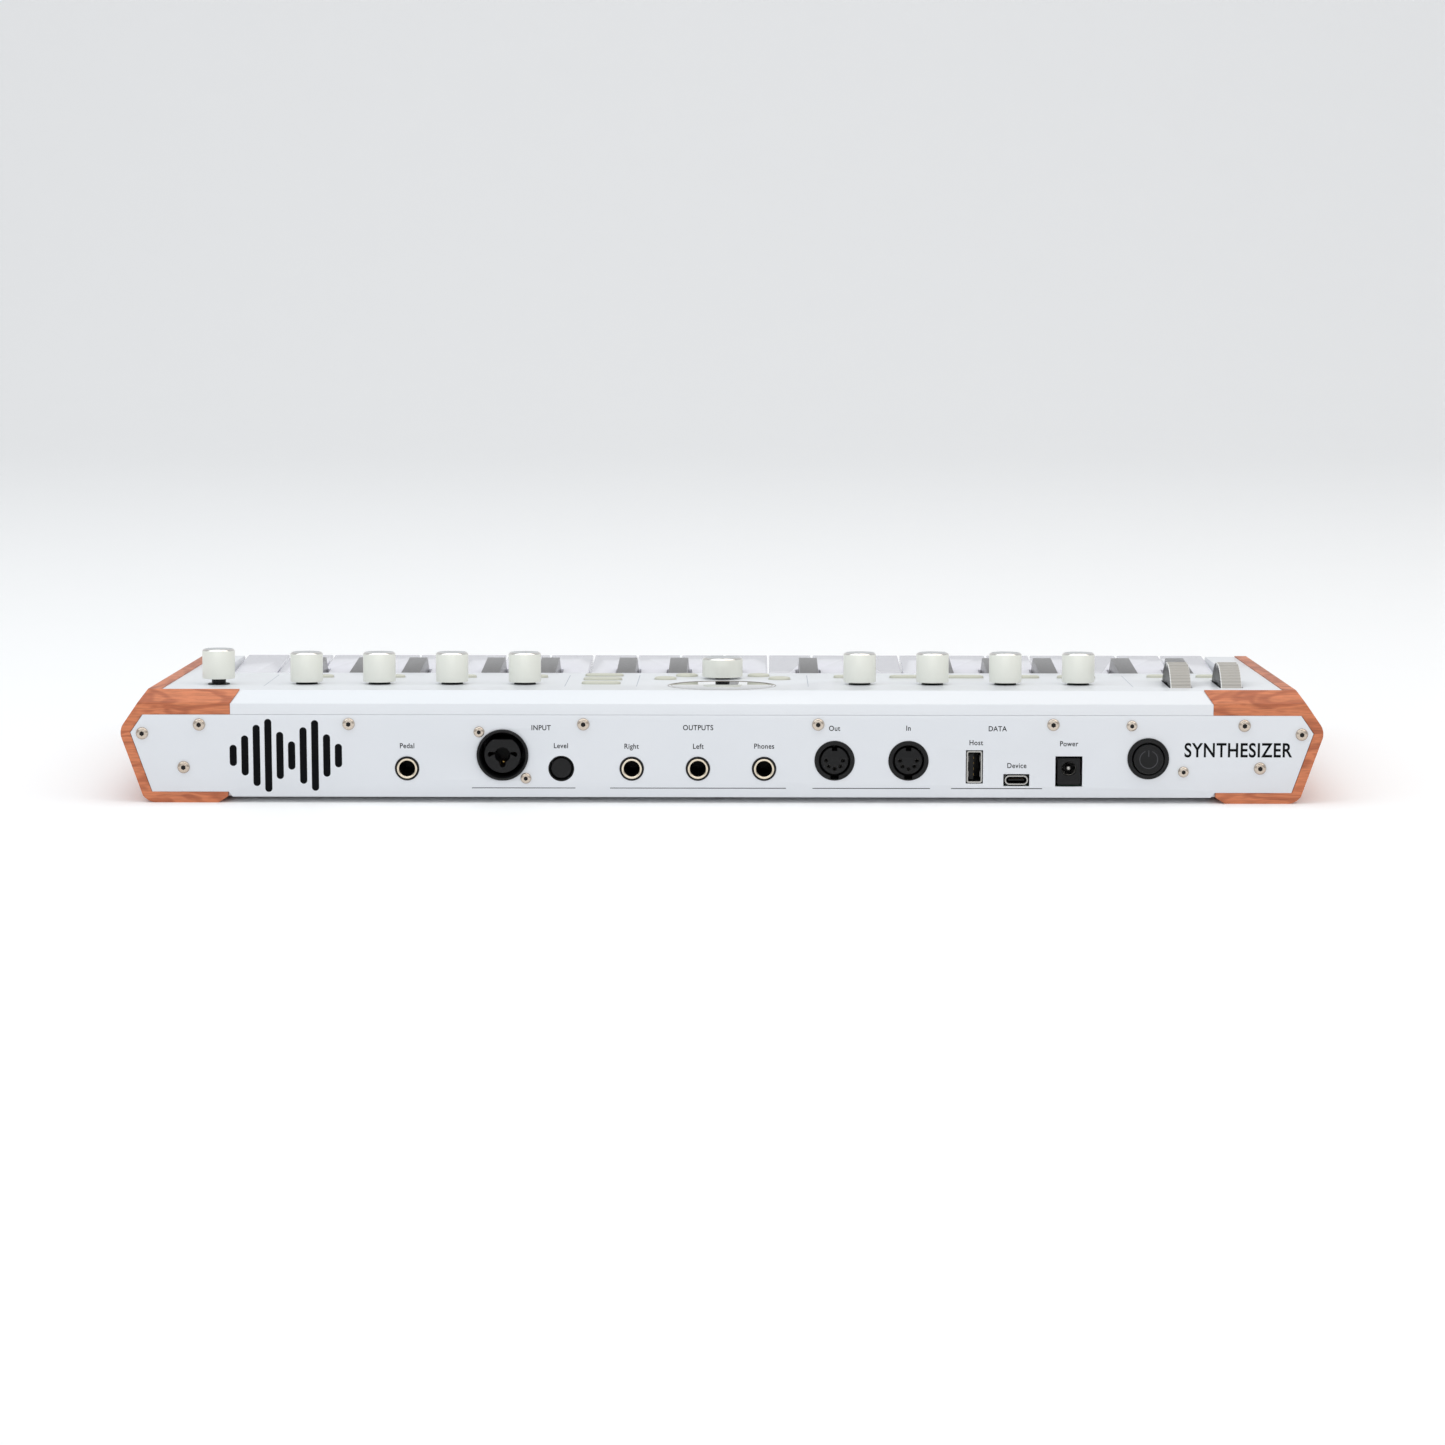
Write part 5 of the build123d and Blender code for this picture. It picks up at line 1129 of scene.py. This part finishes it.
def build_stage():
    """Pale floor that rises softly at the back, lights and world."""
    bend_y = FLOOR_FAR_Y + FLOOR_BEND_RADIUS
    profile = [(FLOOR_NEAR_Y, 0.0), (bend_y, 0.0)]
    for step in range(1, FLOOR_BEND_STEPS + 1):
        angle = math.pi / 2 * step / FLOOR_BEND_STEPS
        back, up = FLOOR_BEND_RADIUS * math.sin(angle), FLOOR_BEND_RADIUS * math.cos(angle)
        profile.append((bend_y - back, FLOOR_BEND_RADIUS - up))
    profile.append((FLOOR_FAR_Y, FLOOR_TOP_Z))
    points = [(side * FLOOR_WIDTH / 2, y, z) for y, z in profile for side in (-1, 1)]
    faces = [(2 * i, 2 * i + 1, 2 * i + 3, 2 * i + 2) for i in range(len(profile) - 1)]
    mesh = bpy.data.meshes.new("floor")
    mesh.from_pydata(points, [], faces)
    pale = surface("floor_pale", (0.96, 0.96, 0.965, 1), (0.95, 0.95, 0.955, 1), 0.7, bump=0.0)
    mesh.materials.append(pale)
    mesh.shade_smooth()
    floor = bpy.data.objects.new("floor", mesh)
    bpy.context.scene.collection.objects.link(floor)
    for light in LIGHTS:
        soft_light(*light)
    world = bpy.data.worlds.new("studio")
    world.use_nodes = True
    fill_inputs(world.node_tree.nodes["Background"], {"Color": WORLD_COLOR, "Strength": WORLD_STRENGTH})
    bpy.context.scene.world = world
    bpy.context.scene.view_settings.view_transform = "Standard"


def soft_light(name, place, target, size, energy, color):
    """Rectangular soft light that points at a target."""
    light = bpy.data.lights.new(name, "AREA")
    light.shape = "RECTANGLE"
    light.size, light.size_y = size
    light.energy = energy
    light.color = color
    holder = bpy.data.objects.new(name, light)
    holder.location = place
    holder.rotation_mode = "QUATERNION"
    holder.rotation_quaternion = (Vector(target) - Vector(place)).to_track_quat("-Z", "Y")
    bpy.context.scene.collection.objects.link(holder)


# Where the camera stands in metres, how far it looks down and to the side in degrees, and its
# lens and sensor in millimetres.
CAMERA_PLACE = (-0.01395, 1.8054, 0.31147)
CAMERA_PITCH = 9.2
CAMERA_TURN = 0.45
CAMERA_LENS = 103.39
CAMERA_SENSOR = 36.0


def build_camera():
    """Camera low behind the instrument, almost square to the rear plate."""
    pitch, turn = math.radians(CAMERA_PITCH), math.radians(CAMERA_TURN)
    forward = Vector((math.cos(pitch) * math.sin(turn), -math.cos(pitch) * math.cos(turn), -math.sin(pitch)))
    data = bpy.data.cameras.new("camera")
    data.lens = CAMERA_LENS
    data.sensor_width = CAMERA_SENSOR
    data.clip_start, data.clip_end = 0.05, 20
    camera = bpy.data.objects.new("camera", data)
    camera.matrix_world = placed(Vector(CAMERA_PLACE), -forward, (-math.cos(turn), -math.sin(turn), 0))
    bpy.context.scene.collection.objects.link(camera)
    bpy.context.scene.camera = camera


build_shells()
build_knobs()
build_display()
build_buttons()
build_wheels()
build_screws()
build_jacks()
build_combo()
build_din()
build_usb_and_inlet()
build_power_and_gain()
build_print()
build_panel_lines()
build_stage()
build_camera()
